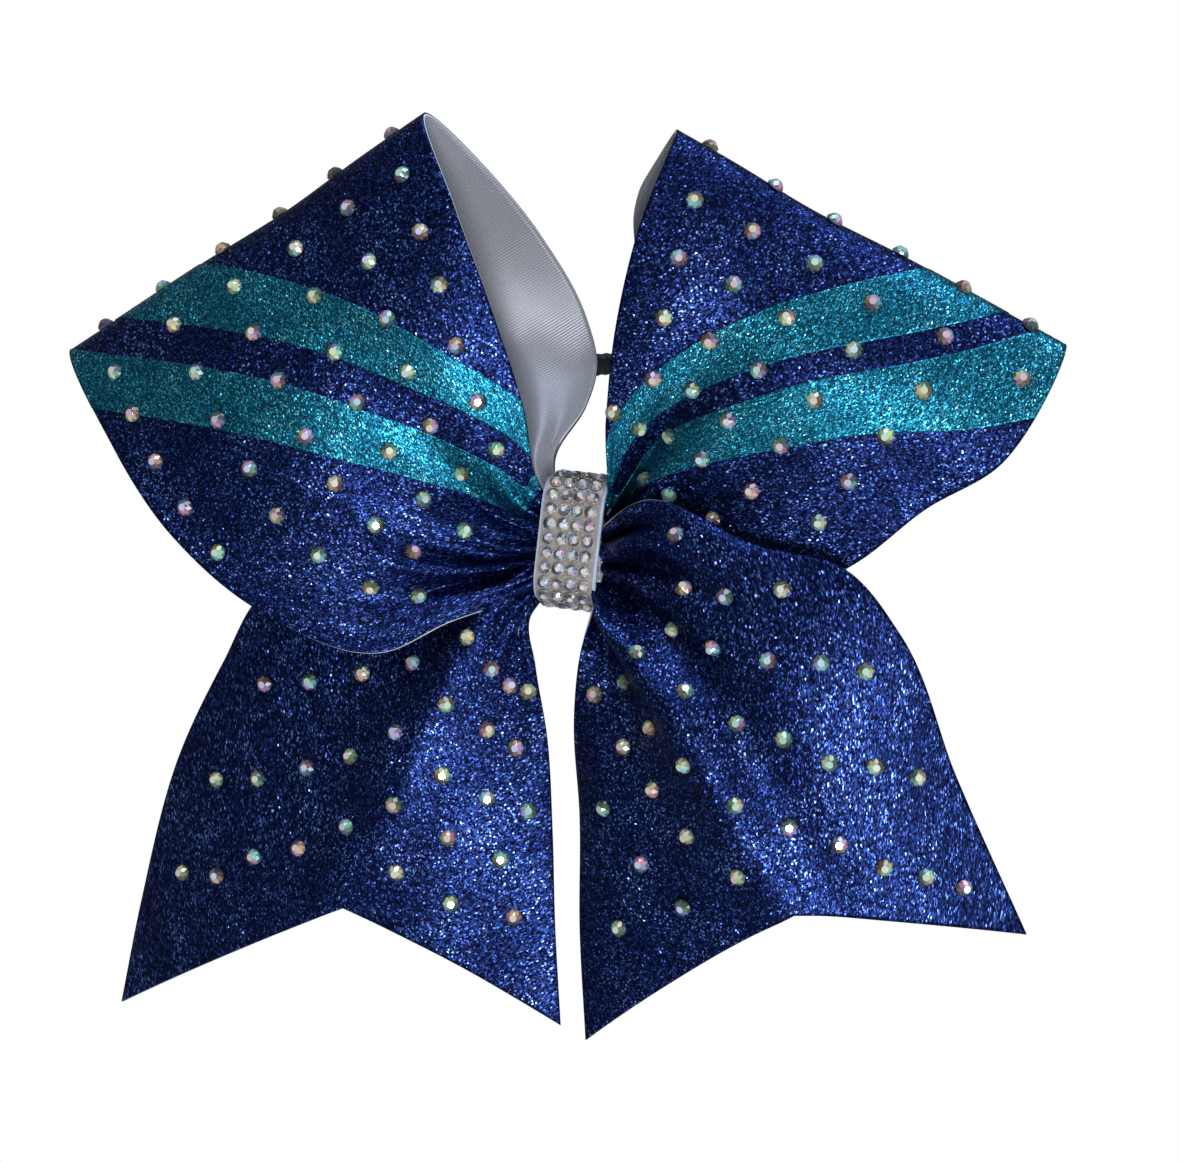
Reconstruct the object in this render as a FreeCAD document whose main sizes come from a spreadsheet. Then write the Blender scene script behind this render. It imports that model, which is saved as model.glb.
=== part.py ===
import FreeCAD, Part
import math
import os
import Sketcher

# Cheer hair bow, in millimetres. Seen from the front, +X is to the right and +Z is up; -Y is the
# front. The origin is the middle of the knot's flat back, which lies on the hair.

Vector = FreeCAD.Vector
Rotation = FreeCAD.Rotation
Placement = FreeCAD.Placement

DIMENSIONS = [
    ("ribbon_width", 76.0, "ribbon width, 3 inch"),
    ("backing_thick", 0.5, "grosgrain ribbon"),
    ("glitter_thick", 0.3, "glitter film bonded to the ribbon"),
    ("stripe_thick", 0.15, "stripe of glitter film laid on the film"),
    ("stone_diameter", 3.0, "ribbon stone, girdle"),
    ("stone_table", 1.7, "ribbon stone, flat top"),
    ("stone_height", 1.3, "ribbon stone"),
    ("stone_sink", 0.1, "stone's glue bed in the film"),
    ("stone_pitch", 12.4, "stones across the ribbon"),
    ("stone_row_pitch", 10.0, "rows along the ribbon"),
    ("stone_girdle", 0.25, "girdle of any stone, share of its height"),
    ("knot_width", 11.0, "knot band, along X"),
    ("knot_depth", 18.7, "knot band, along Y"),
    ("knot_height", 21.6, "knot band, along Z"),
    ("knot_corner", 5.0, "knot band, rounding of its section"),
    ("knot_tilt", 6.5, "degrees, top of the knot leans to +X"),
    ("band_thick", 0.8, "knot band"),
    ("mesh_thick", 0.5, "silver mesh on the band"),
    ("mesh_width", 10.0, "silver mesh, along X"),
    ("mesh_gap", 2.5, "bare band at the back, each side"),
    ("knot_stone_diameter", 2.2, "mesh stone, girdle"),
    ("knot_stone_table", 1.3, "mesh stone, flat top"),
    ("knot_stone_height", 0.8, "mesh stone"),
    ("knot_column_pitch", 2.35, "mesh stones along X"),
    ("knot_row_pitch", 2.57, "mesh stones round the knot"),
    ("gather_width", 10.4, "pinched ribbon, along X"),
    ("gather_depth", 8.0, "pinched ribbon, along Y"),
    ("gather_height", 18.0, "pinched ribbon, along Z"),
    ("gather_corner", 3.2, "pinched ribbon, rounding"),
    ("gather_back", 9.4, "back of the gather, from the origin"),
    ("waist_width", 3.4, "waist that the thread lies in"),
    ("waist_depth", 0.8, "waist that the thread lies in"),
    ("thread_diameter", 0.8, "waxed thread"),
    ("thread_pitch", 1.0, "thread turns along X"),
    ("pad_width", 10.4, "glue pad, along X"),
    ("pad_height", 15.0, "glue pad, along Z"),
    ("pad_corner", 1.5, "glue pad, rounding"),
    ("tunnel_radius", 3.6, "tunnel for the elastic"),
    ("tunnel_depth", 5.1, "tunnel's axis, from the origin"),
    ("elastic_radius", 19.0, "hair elastic, inside"),
    ("elastic_width", 5.0, "hair elastic, along its axis"),
    ("elastic_thick", 2.4, "hair elastic, radial"),
    ("elastic_corner", 0.8, "hair elastic, rounding"),
    ("elastic_rise", 56.0, "degrees, elastic above level at rest"),
    ("joiner_wall", 0.5, "crimped sleeve"),
    ("joiner_angle", 22.0, "degrees of the ring in the sleeve"),
    ("joiner_place", 75.0, "degrees round the ring from the tunnel"),
    ("fan_gap_side", 1.4, "ribbon lengths clear of the knot, along X"),
    ("fan_gap_round", 1.0, "ribbon lengths clear of the knot, round it"),
]

# Each length of ribbon is spread between three rails: its outer edge, its middle and its inner
# edge. A loop's rail runs out from the pinch along the front to the crest, then home behind.
LEFT_LOOP = {
    "outer": {
        "front": [(-4, -16.5, -7), (-12.5, -19, -11.2), (-21.5, -22.5, -14.5), (-31, -26, -19.2),
                  (-51.5, -29, -12.5), (-69, -29.5, 2), (-81, -27.5, 18), (-91, -20, 34.5)],
        "back": [(-82, -12, 28), (-61, -6, 17), (-35, -6, 4), (-16, -8.5, -3.5), (-4, -9.5, -5)],
    },
    "middle": {
        "front": [(-4, -16.5, -1), (-9, -18, -1.5), (-19, -24, 1.5), (-32, -31, 14.5),
                  (-45, -32, 37.5), (-56, -24, 54.2)],
        "back": [(-52, -9, 43.5), (-36, -1, 26), (-20, -6.5, 11.5), (-10, -9, 4), (-4, -9.5, 1)],
    },
    "inner": {
        "front": [(-3, -15.5, 6), (-5, -18, 9), (-6.5, -25, 22.5), (-11, -31, 40),
                  (-16.5, -33, 56), (-23, -28, 73)],
        "back": [(-14.3, -14, 63.8), (-7.5, -5, 53.8), (-1.3, 1.5, 41), (0.7, 2, 33),
                 (-0.2, -3, 24.5), (-4.9, -8, 14.5), (-4, -9.5, 8)],
    },
}
RIGHT_LOOP = {
    "outer": {
        "front": [(4, -13, -4), (14, -14.5, -8), (30, -18, -12), (50, -20.5, -4), (62, -23, 5),
                  (74, -25, 11.8), (84.5, -20, 31.8)],
        "back": [(73.5, -12, 23.5), (52.5, -6, 12.5), (27.5, -7, 2), (10, -9, -3.5),
                 (4, -9.5, -5)],
    },
    "middle": {
        "front": [(4, -13, 0), (8, -14.5, 2.5), (15, -19.5, 8.5), (28, -27, 20),
                  (41.5, -30, 36), (52, -23, 50.5)],
        "back": [(44, -9, 41.5), (27, -2, 27), (13, -6.5, 13), (4, -9.5, 3)],
    },
    "inner": {
        "front": [(3.5, -13, 2.5), (5, -14.5, 5), (7.5, -23, 20.5), (10.5, -29, 36),
                  (15, -32, 52), (20.5, -28, 68.5)],
        "back": [(11.5, -18, 59.5), (4.5, -8, 54.5), (2.8, 0, 49), (3, 1.5, 42), (4.5, 1.5, 34),
                 (7, -4, 24), (8, -8, 14.5), (4, -9.5, 8)],
    },
}

# A tail's rail runs from the pinch to the cut end. The middle rail runs past the notch, so that the
# notch is cut out of a whole end.
LEFT_TAIL = {
    "outer": [(-4, -13, -1), (-20, -15, -1), (-42, -16.5, -3), (-56.5, -16.5, -9.5),
              (-64.5, -14, -21.5), (-74, -11, -38.5), (-82.3, -9, -66), (-86.5, -8, -84.5)],
    "middle": [(-4, -13, -5), (-14.3, -18, -17.5), (-24.6, -21, -35), (-32.4, -21, -51),
               (-40, -20, -64.5), (-43.5, -19, -84)],
    "inner": [(-4, -13, -9), (-8, -13.5, -13), (-6.8, -15, -22), (-4.5, -16, -34),
              (-3.5, -16, -50.5), (-3, -16, -67), (-2, -16, -84.5)],
}
RIGHT_TAIL = {
    "outer": [(4, -16.5, 1), (6, -18.5, 2.5), (14, -24.5, 6.5), (34, -28, -1), (49.5, -28, -5.5),
              (58, -27, -16), (66.6, -21, -39.5), (78, -15, -66.5)],
    "middle": [(4, -16.5, -4), (13, -22, -13.5), (24.4, -27, -30.5), (33, -25.5, -49),
               (40, -23, -63), (43, -21, -77)],
    "inner": [(3, -16.5, -8), (3.2, -17, -11.5), (1.8, -17.5, -19), (0.5, -16, -31),
              (1, -13.5, -48), (0.8, -12.5, -69), (1.8, -12.5, -87.5)],
}
# Root of the notch, as (X, Z), and how far its outer and inner sides bow upwards.
NOTCH = {
    "left_tail": ((-40, -64.5), (0.5, 1.0)),
    "right_tail": ((40, -63), (0.5, 1.1)),
}

# A stripe crosses a loop from edge to edge. Each of its two sides is given as its distance from
# the crest at the ribbon's outer edge and at its inner edge; behind the crest is negative.
STRIPES = {
    "left_loop": {
        "stripe_upper": ((-29.5, 54.5), (-9.0, 65.0)),
        "stripe_lower": ((0.5, 75.5), (14.5, 91.5)),
    },
    "right_loop": {
        "stripe_upper": ((-30.0, 57.0), (-12.0, 71.0)),
        "stripe_lower": ((-6.0, 82.0), (14.0, 98.0)),
    },
}
# A stripe's two sides stop at least this far from the pinch.
STRIPE_PINCH = (7.5, 5.0)

# Lines of stones lean across a loop: share of the distance from its crest that they move inwards.
STONE_DRIFT = {"left_loop": 0.55, "right_loop": 0.42, "left_tail": 0.0, "right_tail": 0.0}

SAME_WAY = 1
CREST = 0.5
RAIL_STEPS = 60
OVERCUT = 1.0
STONE_EDGE = 3.5
STONE_PINCH = 14.0
STONE_HALF_STEPS = 18

doc = FreeCAD.newDocument("cheer_bow")
sheet = doc.addObject("Spreadsheet::Sheet", "Dimensions")
for row, (alias, value, note) in enumerate(DIMENSIONS, start=1):
    sheet.set(f"A{row}", note)
    sheet.set(f"B{row}", str(value))
    sheet.setAlias(f"B{row}", alias)
doc.recompute()


def dim(alias):
    return float(getattr(sheet, alias))


# ---------------------------------------------------------------- ribbon surfaces


class Rail:
    """A smooth line through a few points, from 0 at the pinch to 1 at its end."""

    def __init__(self, points, crest=None):
        self.points = [Vector(*point) for point in points]
        lengths = [0.0]
        for start, end in zip(self.points, self.points[1:]):
            lengths.append(lengths[-1] + (end - start).Length)
        whole = lengths[-1]
        if crest is None:
            self.knots = [length / whole for length in lengths]
        else:
            front = lengths[crest]
            self.knots = [
                CREST * length / front if index <= crest
                else CREST + (1.0 - CREST) * (length - front) / (whole - front)
                for index, length in enumerate(lengths)
            ]
        self.slopes = [self.slope(index) for index in range(len(self.points))]

    def chord(self, index):
        step = self.knots[index + 1] - self.knots[index]
        return (self.points[index + 1] - self.points[index]) * (1.0 / step), step

    def slope(self, index):
        if index == 0:
            return self.chord(0)[0]
        if index == len(self.points) - 1:
            return self.chord(index - 1)[0]
        before, before_step = self.chord(index - 1)
        after, after_step = self.chord(index)
        return (before * after_step + after * before_step) * (1.0 / (before_step + after_step))

    def at(self, place):
        index = 0
        while index < len(self.points) - 2 and place > self.knots[index + 1]:
            index += 1
        step = self.knots[index + 1] - self.knots[index]
        part = (place - self.knots[index]) / step
        square, cube = part ** 2, part ** 3
        return (self.points[index] * (2 * cube - 3 * square + 1)
                + self.slopes[index] * (step * (cube - 2 * square + part))
                + self.points[index + 1] * (3 * square - 2 * cube)
                + self.slopes[index + 1] * (step * (cube - square)))


class Fan:
    """A length of ribbon. place runs along it, side across it from -1, outer, to 1, inner."""

    def __init__(self, rails, facing):
        self.rails = [self.rail(rails[name]) for name in ("outer", "middle", "inner")]
        self.facing = facing
        self.is_loop = isinstance(rails["middle"], dict)

    @staticmethod
    def rail(points):
        if isinstance(points, dict):
            return Rail(points["front"] + points["back"], crest=len(points["front"]) - 1)
        return Rail(points)

    def middle_surface(self, place, side):
        outer, middle, inner = (rail.at(place) for rail in self.rails)
        return (outer * (side * (side - 1) / 2)
                + middle * (1 - side ** 2)
                + inner * (side * (side + 1) / 2))

    def normal(self, place, side):
        reach = 0.002
        along = (self.middle_surface(min(place + reach, 1.0), side)
                 - self.middle_surface(max(place - reach, 0.0), side))
        across = (self.middle_surface(place, side + reach)
                  - self.middle_surface(place, side - reach))
        return along.cross(across).normalize() * self.facing

    def at(self, place, side, offset=0.0):
        return self.middle_surface(place, side) + self.normal(place, side) * offset

    def lengths(self, side):
        """Distances from the pinch along one line of the ribbon, in equal steps of place."""
        points = [self.middle_surface(step / RAIL_STEPS, side) for step in range(RAIL_STEPS + 1)]
        lengths = [0.0]
        for start, end in zip(points, points[1:]):
            lengths.append(lengths[-1] + (end - start).Length)
        return lengths

    def place_at(self, side, length):
        lengths = self.lengths(side)
        for step in range(RAIL_STEPS):
            if lengths[step + 1] >= length:
                part = (length - lengths[step]) / (lengths[step + 1] - lengths[step])
                return (step + part) / RAIL_STEPS
        return 1.0


def smooth_face(grid):
    surface = Part.BSplineSurface()
    surface.interpolate(grid)
    return surface


def thin_solid(fan, outline, steps, low, high):
    """Closed solid between two offsets of a fan. outline turns 0..1, 0..1 into place and side."""
    along_steps, across_steps = steps
    surfaces = []
    for offset in (low, high):
        grid = []
        for along in range(along_steps + 1):
            cells = [outline(along / along_steps, across / across_steps)
                     for across in range(across_steps + 1)]
            grid.append([fan.at(place, side, offset) for place, side in cells])
        surfaces.append(smooth_face(grid))
    faces = [surface.toShape() for surface in surfaces]
    first_u, last_u, first_v, last_v = surfaces[0].bounds()
    rims = [[surface.uIso(first_u), surface.uIso(last_u), surface.vIso(first_v),
             surface.vIso(last_v)] for surface in surfaces]
    for low_rim, high_rim in zip(*rims):
        faces.append(Part.makeRuledSurface(low_rim.toShape(), high_rim.toShape(), SAME_WAY))
    shell = Part.makeShell(faces)
    shell.sewShape()
    solid = Part.makeSolid(shell)
    if solid.Volume < 0:
        solid.reverse()
    return solid


def whole_outline(along, across):
    return along, 2 * across - 1


def stripe_outline(fan, sides):
    (top_outer, top_inner), (low_outer, low_inner) = sides
    places = {}

    def outline(along, across):
        if (along, across) not in places:
            side = 2 * across - 1
            top = top_outer + (top_inner - top_outer) * across
            low = low_outer + (low_inner - low_outer) * across
            crest = fan.lengths(side)[int(CREST * RAIL_STEPS)]
            upper = max(crest - top, STRIPE_PINCH[0])
            lower = max(crest - low, STRIPE_PINCH[1])
            length = upper + (lower - upper) * along
            places[(along, across)] = (fan.place_at(side, length), side)
        return places[(along, across)]
    return outline


def knot_clearance():
    """Block round the knot that the moving lengths of ribbon keep out of."""
    side = dim("fan_gap_side")
    around = dim("fan_gap_round")
    width = dim("knot_width") + 2 * side
    depth = dim("knot_depth") + 2 * around
    height = dim("knot_height") + 2 * around
    block = Part.makeBox(width, depth, height, Vector(-width / 2, around - depth, -height / 2))
    block.Placement = knot_placement()
    return block


def knot_placement():
    return Placement(Vector(0, 0, 0), Rotation(Vector(0, 1, 0), dim("knot_tilt")))


def notch_wedge(fan, notch):
    """Prism that cuts the swallow-tail out of a tail's end, its two sides slightly bowed."""
    overshoot = 1.3
    below = 60.0
    depth = 80.0
    place, bows = notch
    root = Vector(place[0], -depth / 2, place[1])
    sides = []
    ends = []
    for side, bow in zip((-1, 1), bows):
        tip = fan.middle_surface(1.0, side)
        tip.y = root.y
        end = root + (tip - root) * overshoot
        middle = (root + tip) * 0.5 + Vector(0, 0, bow)
        sides.append(Part.Arc(root, middle, end).toShape())
        ends.append(end)
    floor = [end - Vector(0, 0, below) for end in ends]
    lines = [(ends[0], floor[0]), (floor[0], floor[1]), (floor[1], ends[1])]
    edges = sides + [Part.LineSegment(*line).toShape() for line in lines]
    outline = Part.Wire(Part.__sortEdges__(edges))
    return Part.Face(outline).extrude(Vector(0, depth, 0))


def stone(seat, axis, radius, table_radius, height):
    """Flat-backed stone: a low girdle, then a tapered crown up to its table."""
    girdle = dim("stone_girdle") * height
    rim = Part.makeCylinder(radius, girdle, seat, axis)
    crown = Part.makeCone(radius, table_radius, height - girdle, seat + axis * girdle, axis)
    return rim.fuse(crown)


def ribbon_stones(fan, drift):
    """Staggered rows of stones along a fan, from the crest of a loop or the pinch of a tail."""
    stones = []
    half_width = dim("ribbon_width") / 2
    seat_offset = dim("glitter_thick") - dim("stone_sink")
    row_pitch = dim("stone_row_pitch")
    rows = int(max(fan.lengths(side)[-1] for side in (-1, 0, 1)) / row_pitch) + 1
    for row in range(-rows, rows + 1):
        distance = row * row_pitch
        for half_step in range(-STONE_HALF_STEPS, STONE_HALF_STEPS + 1):
            across = half_step * dim("stone_pitch") / 2 + drift * abs(distance)
            side = across / half_width
            if (half_step + row) % 2 == 0 or abs(across) > half_width - STONE_EDGE:
                continue
            lengths = fan.lengths(side)
            start = lengths[int(CREST * RAIL_STEPS)] if fan.is_loop else 0.0
            far = lengths[-1] - (STONE_PINCH if fan.is_loop else STONE_EDGE)
            length = start + distance
            if STONE_PINCH < length < far:
                place = fan.place_at(side, length)
                stones.append((fan.at(place, side, seat_offset), fan.normal(place, side)))
    return stones


def add_feature(label, shape):
    feature = doc.addObject("Part::Feature", label)
    feature.Label = label
    feature.Shape = shape
    return feature


def clear_of_wedge(seat, wedge):
    probe = Part.makeSphere(dim("stone_diameter"), seat)
    return probe.common(wedge).Volume < 1e-6


def build_fan(name, rails, facing, steps):
    """Backing, film, stripes and stones of one loop or tail."""
    fan = Fan(rails, facing)
    cutters = [knot_clearance()]
    wedge = None
    if name in NOTCH:
        wedge = notch_wedge(fan, NOTCH[name])
        cutters.append(wedge)
    block = cutters[0]
    film = dim("glitter_thick")
    layers = {"backing": (-dim("backing_thick"), 0.0), "glitter": (0.0, film)}
    nodes = []
    for layer, (low, high) in layers.items():
        solid = thin_solid(fan, whole_outline, steps, low, high)
        for cutter in cutters:
            solid = solid.cut(cutter)
        solid = max(solid.Solids, key=lambda piece: piece.Volume)
        nodes.append(add_feature(f"{name}_{layer}", solid))
    if fan.is_loop:
        for stripe, sides in STRIPES[name].items():
            outline = stripe_outline(fan, sides)
            patch = thin_solid(fan, outline, (3, 18), film, film + dim("stripe_thick"))
            patch = patch.cut(block)
            nodes.append(add_feature(f"{name}_{stripe}", patch))
    radius = dim("stone_diameter") / 2
    table_radius = dim("stone_table") / 2
    stones = []
    for seat, axis in ribbon_stones(fan, STONE_DRIFT[name]):
        shape = stone(seat, axis, radius, table_radius, dim("stone_height"))
        if shape.common(block).Volume > 0:
            continue
        if wedge and not clear_of_wedge(seat, wedge):
            continue
        stones.append(shape)
    nodes.append(add_feature(f"{name}_stones", Part.makeCompound(stones)))
    return nodes


# ---------------------------------------------------------------- knot


def rounded_block(name, size, back, corner):
    """Part::Box with its four edges along X rounded. size holds expressions of the sheet."""
    length, width, height = size
    box = doc.addObject("Part::Box", f"{name}_box")
    box.setExpression("Length", length)
    box.setExpression("Width", width)
    box.setExpression("Height", height)
    box.setExpression("Placement.Base.x", f"-({length}) / 2")
    box.setExpression("Placement.Base.y", f"-({width}) - ({back})")
    box.setExpression("Placement.Base.z", f"-({height}) / 2")
    doc.recompute()
    fillet = doc.addObject("Part::Fillet", name)
    fillet.Base = box
    fillet.Edges = [(index, corner, corner) for index, edge in enumerate(box.Shape.Edges, start=1)
                    if abs(edge.tangentAt(edge.FirstParameter).x) > 0.99]
    doc.recompute()
    return fillet


def cut(label, base, tool):
    result = doc.addObject("Part::Cut", label)
    result.Label = label
    result.Base = base
    result.Tool = tool
    doc.recompute()
    return result


def build_band():
    wall = "Dimensions.band_thick"
    outer_size = ("Dimensions.knot_width", "Dimensions.knot_depth", "Dimensions.knot_height")
    outer = rounded_block("band_outer", outer_size, "0", dim("knot_corner"))
    inner_size = (f"Dimensions.knot_width + 2 * {OVERCUT}", f"Dimensions.knot_depth - 2 * {wall}",
                  f"Dimensions.knot_height - 2 * {wall}")
    inner = rounded_block("band_inner", inner_size, wall, dim("knot_corner") - dim("band_thick"))
    band = cut("knot_band", outer, inner)
    band.Placement = knot_placement()
    return band


def build_mesh():
    grow = "Dimensions.mesh_thick"
    outer_size = ("Dimensions.mesh_width", f"Dimensions.knot_depth + 2 * {grow}",
                  f"Dimensions.knot_height + 2 * {grow}")
    outer = rounded_block("mesh_outer", outer_size, f"-{grow}",
                          dim("knot_corner") + dim("mesh_thick"))
    core_size = (f"Dimensions.mesh_width + 2 * {OVERCUT}", "Dimensions.knot_depth",
                 "Dimensions.knot_height")
    core = rounded_block("mesh_core", core_size, "0", dim("knot_corner"))
    sleeve = cut("mesh_sleeve", outer, core)
    back = doc.addObject("Part::Box", "mesh_back")
    around = f"(Dimensions.mesh_thick + {OVERCUT})"
    back.setExpression("Length", f"Dimensions.mesh_width + 2 * {OVERCUT}")
    back.setExpression("Width", f"Dimensions.mesh_gap + {around}")
    back.setExpression("Height", f"Dimensions.knot_height + 2 * {around}")
    back.setExpression("Placement.Base.x", f"-Dimensions.mesh_width / 2 - {OVERCUT}")
    back.setExpression("Placement.Base.y", "-Dimensions.mesh_gap")
    back.setExpression("Placement.Base.z", f"-Dimensions.knot_height / 2 - {around}")
    mesh = cut("knot_stone_mesh", sleeve, back)
    mesh.Placement = knot_placement()
    return mesh


def around_knot(distance):
    """Point on the mesh and outward direction, distance along it from its upper back end."""
    grow = dim("mesh_thick")
    radius = dim("knot_corner") + grow
    front = -dim("knot_depth") - grow
    top = dim("knot_height") / 2 + grow
    level = -dim("mesh_gap") - (front + radius)
    corner = radius * math.pi / 2
    face = 2 * (top - radius)
    if distance < level:
        return Vector(0, -dim("mesh_gap") - distance, top), Vector(0, 0, 1)
    distance -= level
    if distance < corner:
        turn = distance / radius
        outward = Vector(0, -math.sin(turn), math.cos(turn))
        return Vector(0, front + radius, top - radius) + outward * radius, outward
    distance -= corner
    if distance < face:
        return Vector(0, front, top - radius - distance), Vector(0, -1, 0)
    distance -= face
    if distance < corner:
        turn = distance / radius
        outward = Vector(0, -math.cos(turn), -math.sin(turn))
        return Vector(0, front + radius, radius - top) + outward * radius, outward
    distance -= corner
    return Vector(0, front + radius + distance, -top), Vector(0, 0, -1)


def mesh_length():
    grow = dim("mesh_thick")
    radius = dim("knot_corner") + grow
    level = dim("knot_depth") + grow - dim("mesh_gap") - radius
    face = dim("knot_height") + 2 * grow - 2 * radius
    return 2 * level + face + math.pi * radius


def build_knot_stones():
    """Four columns of stones in rows all along the mesh."""
    rows = int(mesh_length() / dim("knot_row_pitch"))
    margin = (mesh_length() - (rows - 1) * dim("knot_row_pitch")) / 2
    radius = dim("knot_stone_diameter") / 2
    table_radius = dim("knot_stone_table") / 2
    stones = []
    for row in range(rows):
        seat, outward = around_knot(margin + row * dim("knot_row_pitch"))
        for column in (-1.5, -0.5, 0.5, 1.5):
            place = seat + Vector(column * dim("knot_column_pitch"), 0, 0)
            stones.append(stone(place, outward, radius, table_radius, dim("knot_stone_height")))
    group = add_feature("knot_stones", Part.makeCompound(stones))
    group.Placement = knot_placement()
    return group


def build_gather():
    size = ("Dimensions.gather_width", "Dimensions.gather_depth", "Dimensions.gather_height")
    body = rounded_block("gather_body", size, "Dimensions.gather_back", dim("gather_corner"))
    depth = dim("waist_depth")
    ring_size = ("Dimensions.waist_width", f"Dimensions.gather_depth + 2 * {OVERCUT}",
                 f"Dimensions.gather_height + 2 * {OVERCUT}")
    ring = rounded_block("waist_ring", ring_size, f"Dimensions.gather_back - {OVERCUT}",
                         dim("gather_corner"))
    core_size = (f"Dimensions.waist_width + 2 * {OVERCUT}",
                 "Dimensions.gather_depth - 2 * Dimensions.waist_depth",
                 "Dimensions.gather_height - 2 * Dimensions.waist_depth")
    core = rounded_block("waist_core", core_size,
                         "Dimensions.gather_back + Dimensions.waist_depth",
                         dim("gather_corner") - depth)
    waist = cut("waist", ring, core)
    return cut("ribbon_gather", body, waist)


def rounded_loop(centre, width, height, corner):
    """Closed path in the YZ plane: a rectangle with rounded corners."""
    half_y = width / 2
    half_z = height / 2
    edges = []
    for quarter in range(4):
        turn = Rotation(Vector(1, 0, 0), 90 * quarter)
        reach, across = (half_y, half_z) if quarter % 2 == 0 else (half_z, half_y)
        line_start = Vector(0, reach, corner - across)
        line_end = Vector(0, reach, across - corner)
        arc_middle = Vector(0, reach - corner + corner * math.cos(math.pi / 4),
                            across - corner + corner * math.sin(math.pi / 4))
        arc_end = Vector(0, reach - corner, across)
        line = [turn.multVec(point) + centre for point in (line_start, line_end)]
        arc = [turn.multVec(point) + centre for point in (line_end, arc_middle, arc_end)]
        edges.append(Part.LineSegment(*line).toShape())
        edges.append(Part.Arc(*arc).toShape())
    return Part.Wire(edges)


def build_cinch():
    """Three turns of round thread, side by side in the waist of the gather."""
    depth = dim("waist_depth")
    thread = dim("thread_diameter")
    width = dim("gather_depth") - 2 * depth + thread
    height = dim("gather_height") - 2 * depth + thread
    corner = dim("gather_corner") - depth + thread / 2
    centre_y = -dim("gather_back") - dim("gather_depth") / 2
    turns = []
    for step in (-1, 0, 1):
        centre = Vector(step * dim("thread_pitch"), centre_y, 0)
        path = rounded_loop(centre, width, height, corner)
        section = Part.Wire(Part.makeCircle(thread / 2, centre + Vector(0, width / 2, 0),
                                            Vector(0, 0, 1)))
        turns.append(path.makePipeShell([section], True, False))
    return add_feature("cinch_tie", Part.makeCompound(turns))


def build_pad():
    size = ("Dimensions.pad_width", "Dimensions.gather_back - Dimensions.band_thick",
            "Dimensions.pad_height")
    pad = rounded_block("pad_body", size, "Dimensions.band_thick", dim("pad_corner"))
    tunnel = doc.addObject("Part::Cylinder", "tunnel")
    tunnel.setExpression("Radius", "Dimensions.tunnel_radius")
    tunnel.setExpression("Height", f"Dimensions.pad_width + 2 * {OVERCUT}")
    tunnel.Placement.Rotation = Rotation(Vector(0, 1, 0), 90)
    tunnel.setExpression("Placement.Base.x", f"-Dimensions.pad_width / 2 - {OVERCUT}")
    tunnel.setExpression("Placement.Base.y", "-Dimensions.tunnel_depth")
    return cut("glue_pad", pad, tunnel)


# ---------------------------------------------------------------- hair elastic


def body_plane(body, role):
    return next(item for item in body.Origin.OriginFeatures if item.Role == role)


def add_rectangle(sketch, names, low, high):
    """Rectangle in a sketch, its four sides' distances from the origin bound to the sheet."""
    corners = [Vector(low[0], low[1], 0), Vector(high[0], low[1], 0),
               Vector(high[0], high[1], 0), Vector(low[0], high[1], 0)]
    first = sketch.GeometryCount
    for start, end in zip(corners, corners[1:] + corners[:1]):
        sketch.addGeometry(Part.LineSegment(start, end), False)
    for step in range(4):
        sketch.addConstraint(Sketcher.Constraint("Coincident", first + step, 2,
                                                 first + (step + 1) % 4, 1))
        kind = "Horizontal" if step % 2 == 0 else "Vertical"
        sketch.addConstraint(Sketcher.Constraint(kind, first + step))
    targets = [("DistanceX", 0, names[0], low[0]), ("DistanceX", 1, names[1], high[0]),
               ("DistanceY", 3, names[2], high[1]), ("DistanceY", 0, names[3], low[1])]
    for kind, line, (constraint, expression), value in targets:
        index = sketch.addConstraint(
            Sketcher.Constraint(kind, -1, 1, first + line, 1, value))
        sketch.renameConstraint(index, constraint)
        sketch.setExpression(f"Constraints.{constraint}", expression)


def ring_section(sketch, prefix, grow_cell):
    """Section of the flat elastic, grown all round by one cell of the sheet, or by nothing."""
    grow = dim(grow_cell) if grow_cell else 0.0
    plus = f" + Dimensions.{grow_cell}" if grow_cell else ""
    minus = f" - Dimensions.{grow_cell}" if grow_cell else ""
    inside = dim("elastic_radius")
    half = dim("elastic_width") / 2
    names = [
        (f"{prefix}_inside", f"Dimensions.elastic_radius{minus}"),
        (f"{prefix}_outside", f"Dimensions.elastic_radius + Dimensions.elastic_thick{plus}"),
        (f"{prefix}_top", f"Dimensions.elastic_width / 2{plus}"),
        (f"{prefix}_bottom", f"-Dimensions.elastic_width / 2{minus}"),
    ]
    low = (inside - grow, -half - grow)
    high = (inside + dim("elastic_thick") + grow, half + grow)
    add_rectangle(sketch, names, low, high)


def revolved_body(label, sections, angle):
    body = doc.addObject("PartDesign::Body", label)
    body.Label = label
    sketch = body.newObject("Sketcher::SketchObject", f"{label}_section")
    sketch.AttachmentSupport = [(body_plane(body, "XZ_Plane"), "")]
    sketch.MapMode = "FlatFace"
    for prefix, grow_cell in sections:
        ring_section(sketch, prefix, grow_cell)
    doc.recompute()
    ring = body.newObject("PartDesign::Revolution", f"{label}_ring")
    ring.Profile = sketch
    ring.ReferenceAxis = (sketch, ["V_Axis"])
    ring.Angle = angle
    ring.Midplane = angle < 360
    doc.recompute()
    return body, ring


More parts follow.
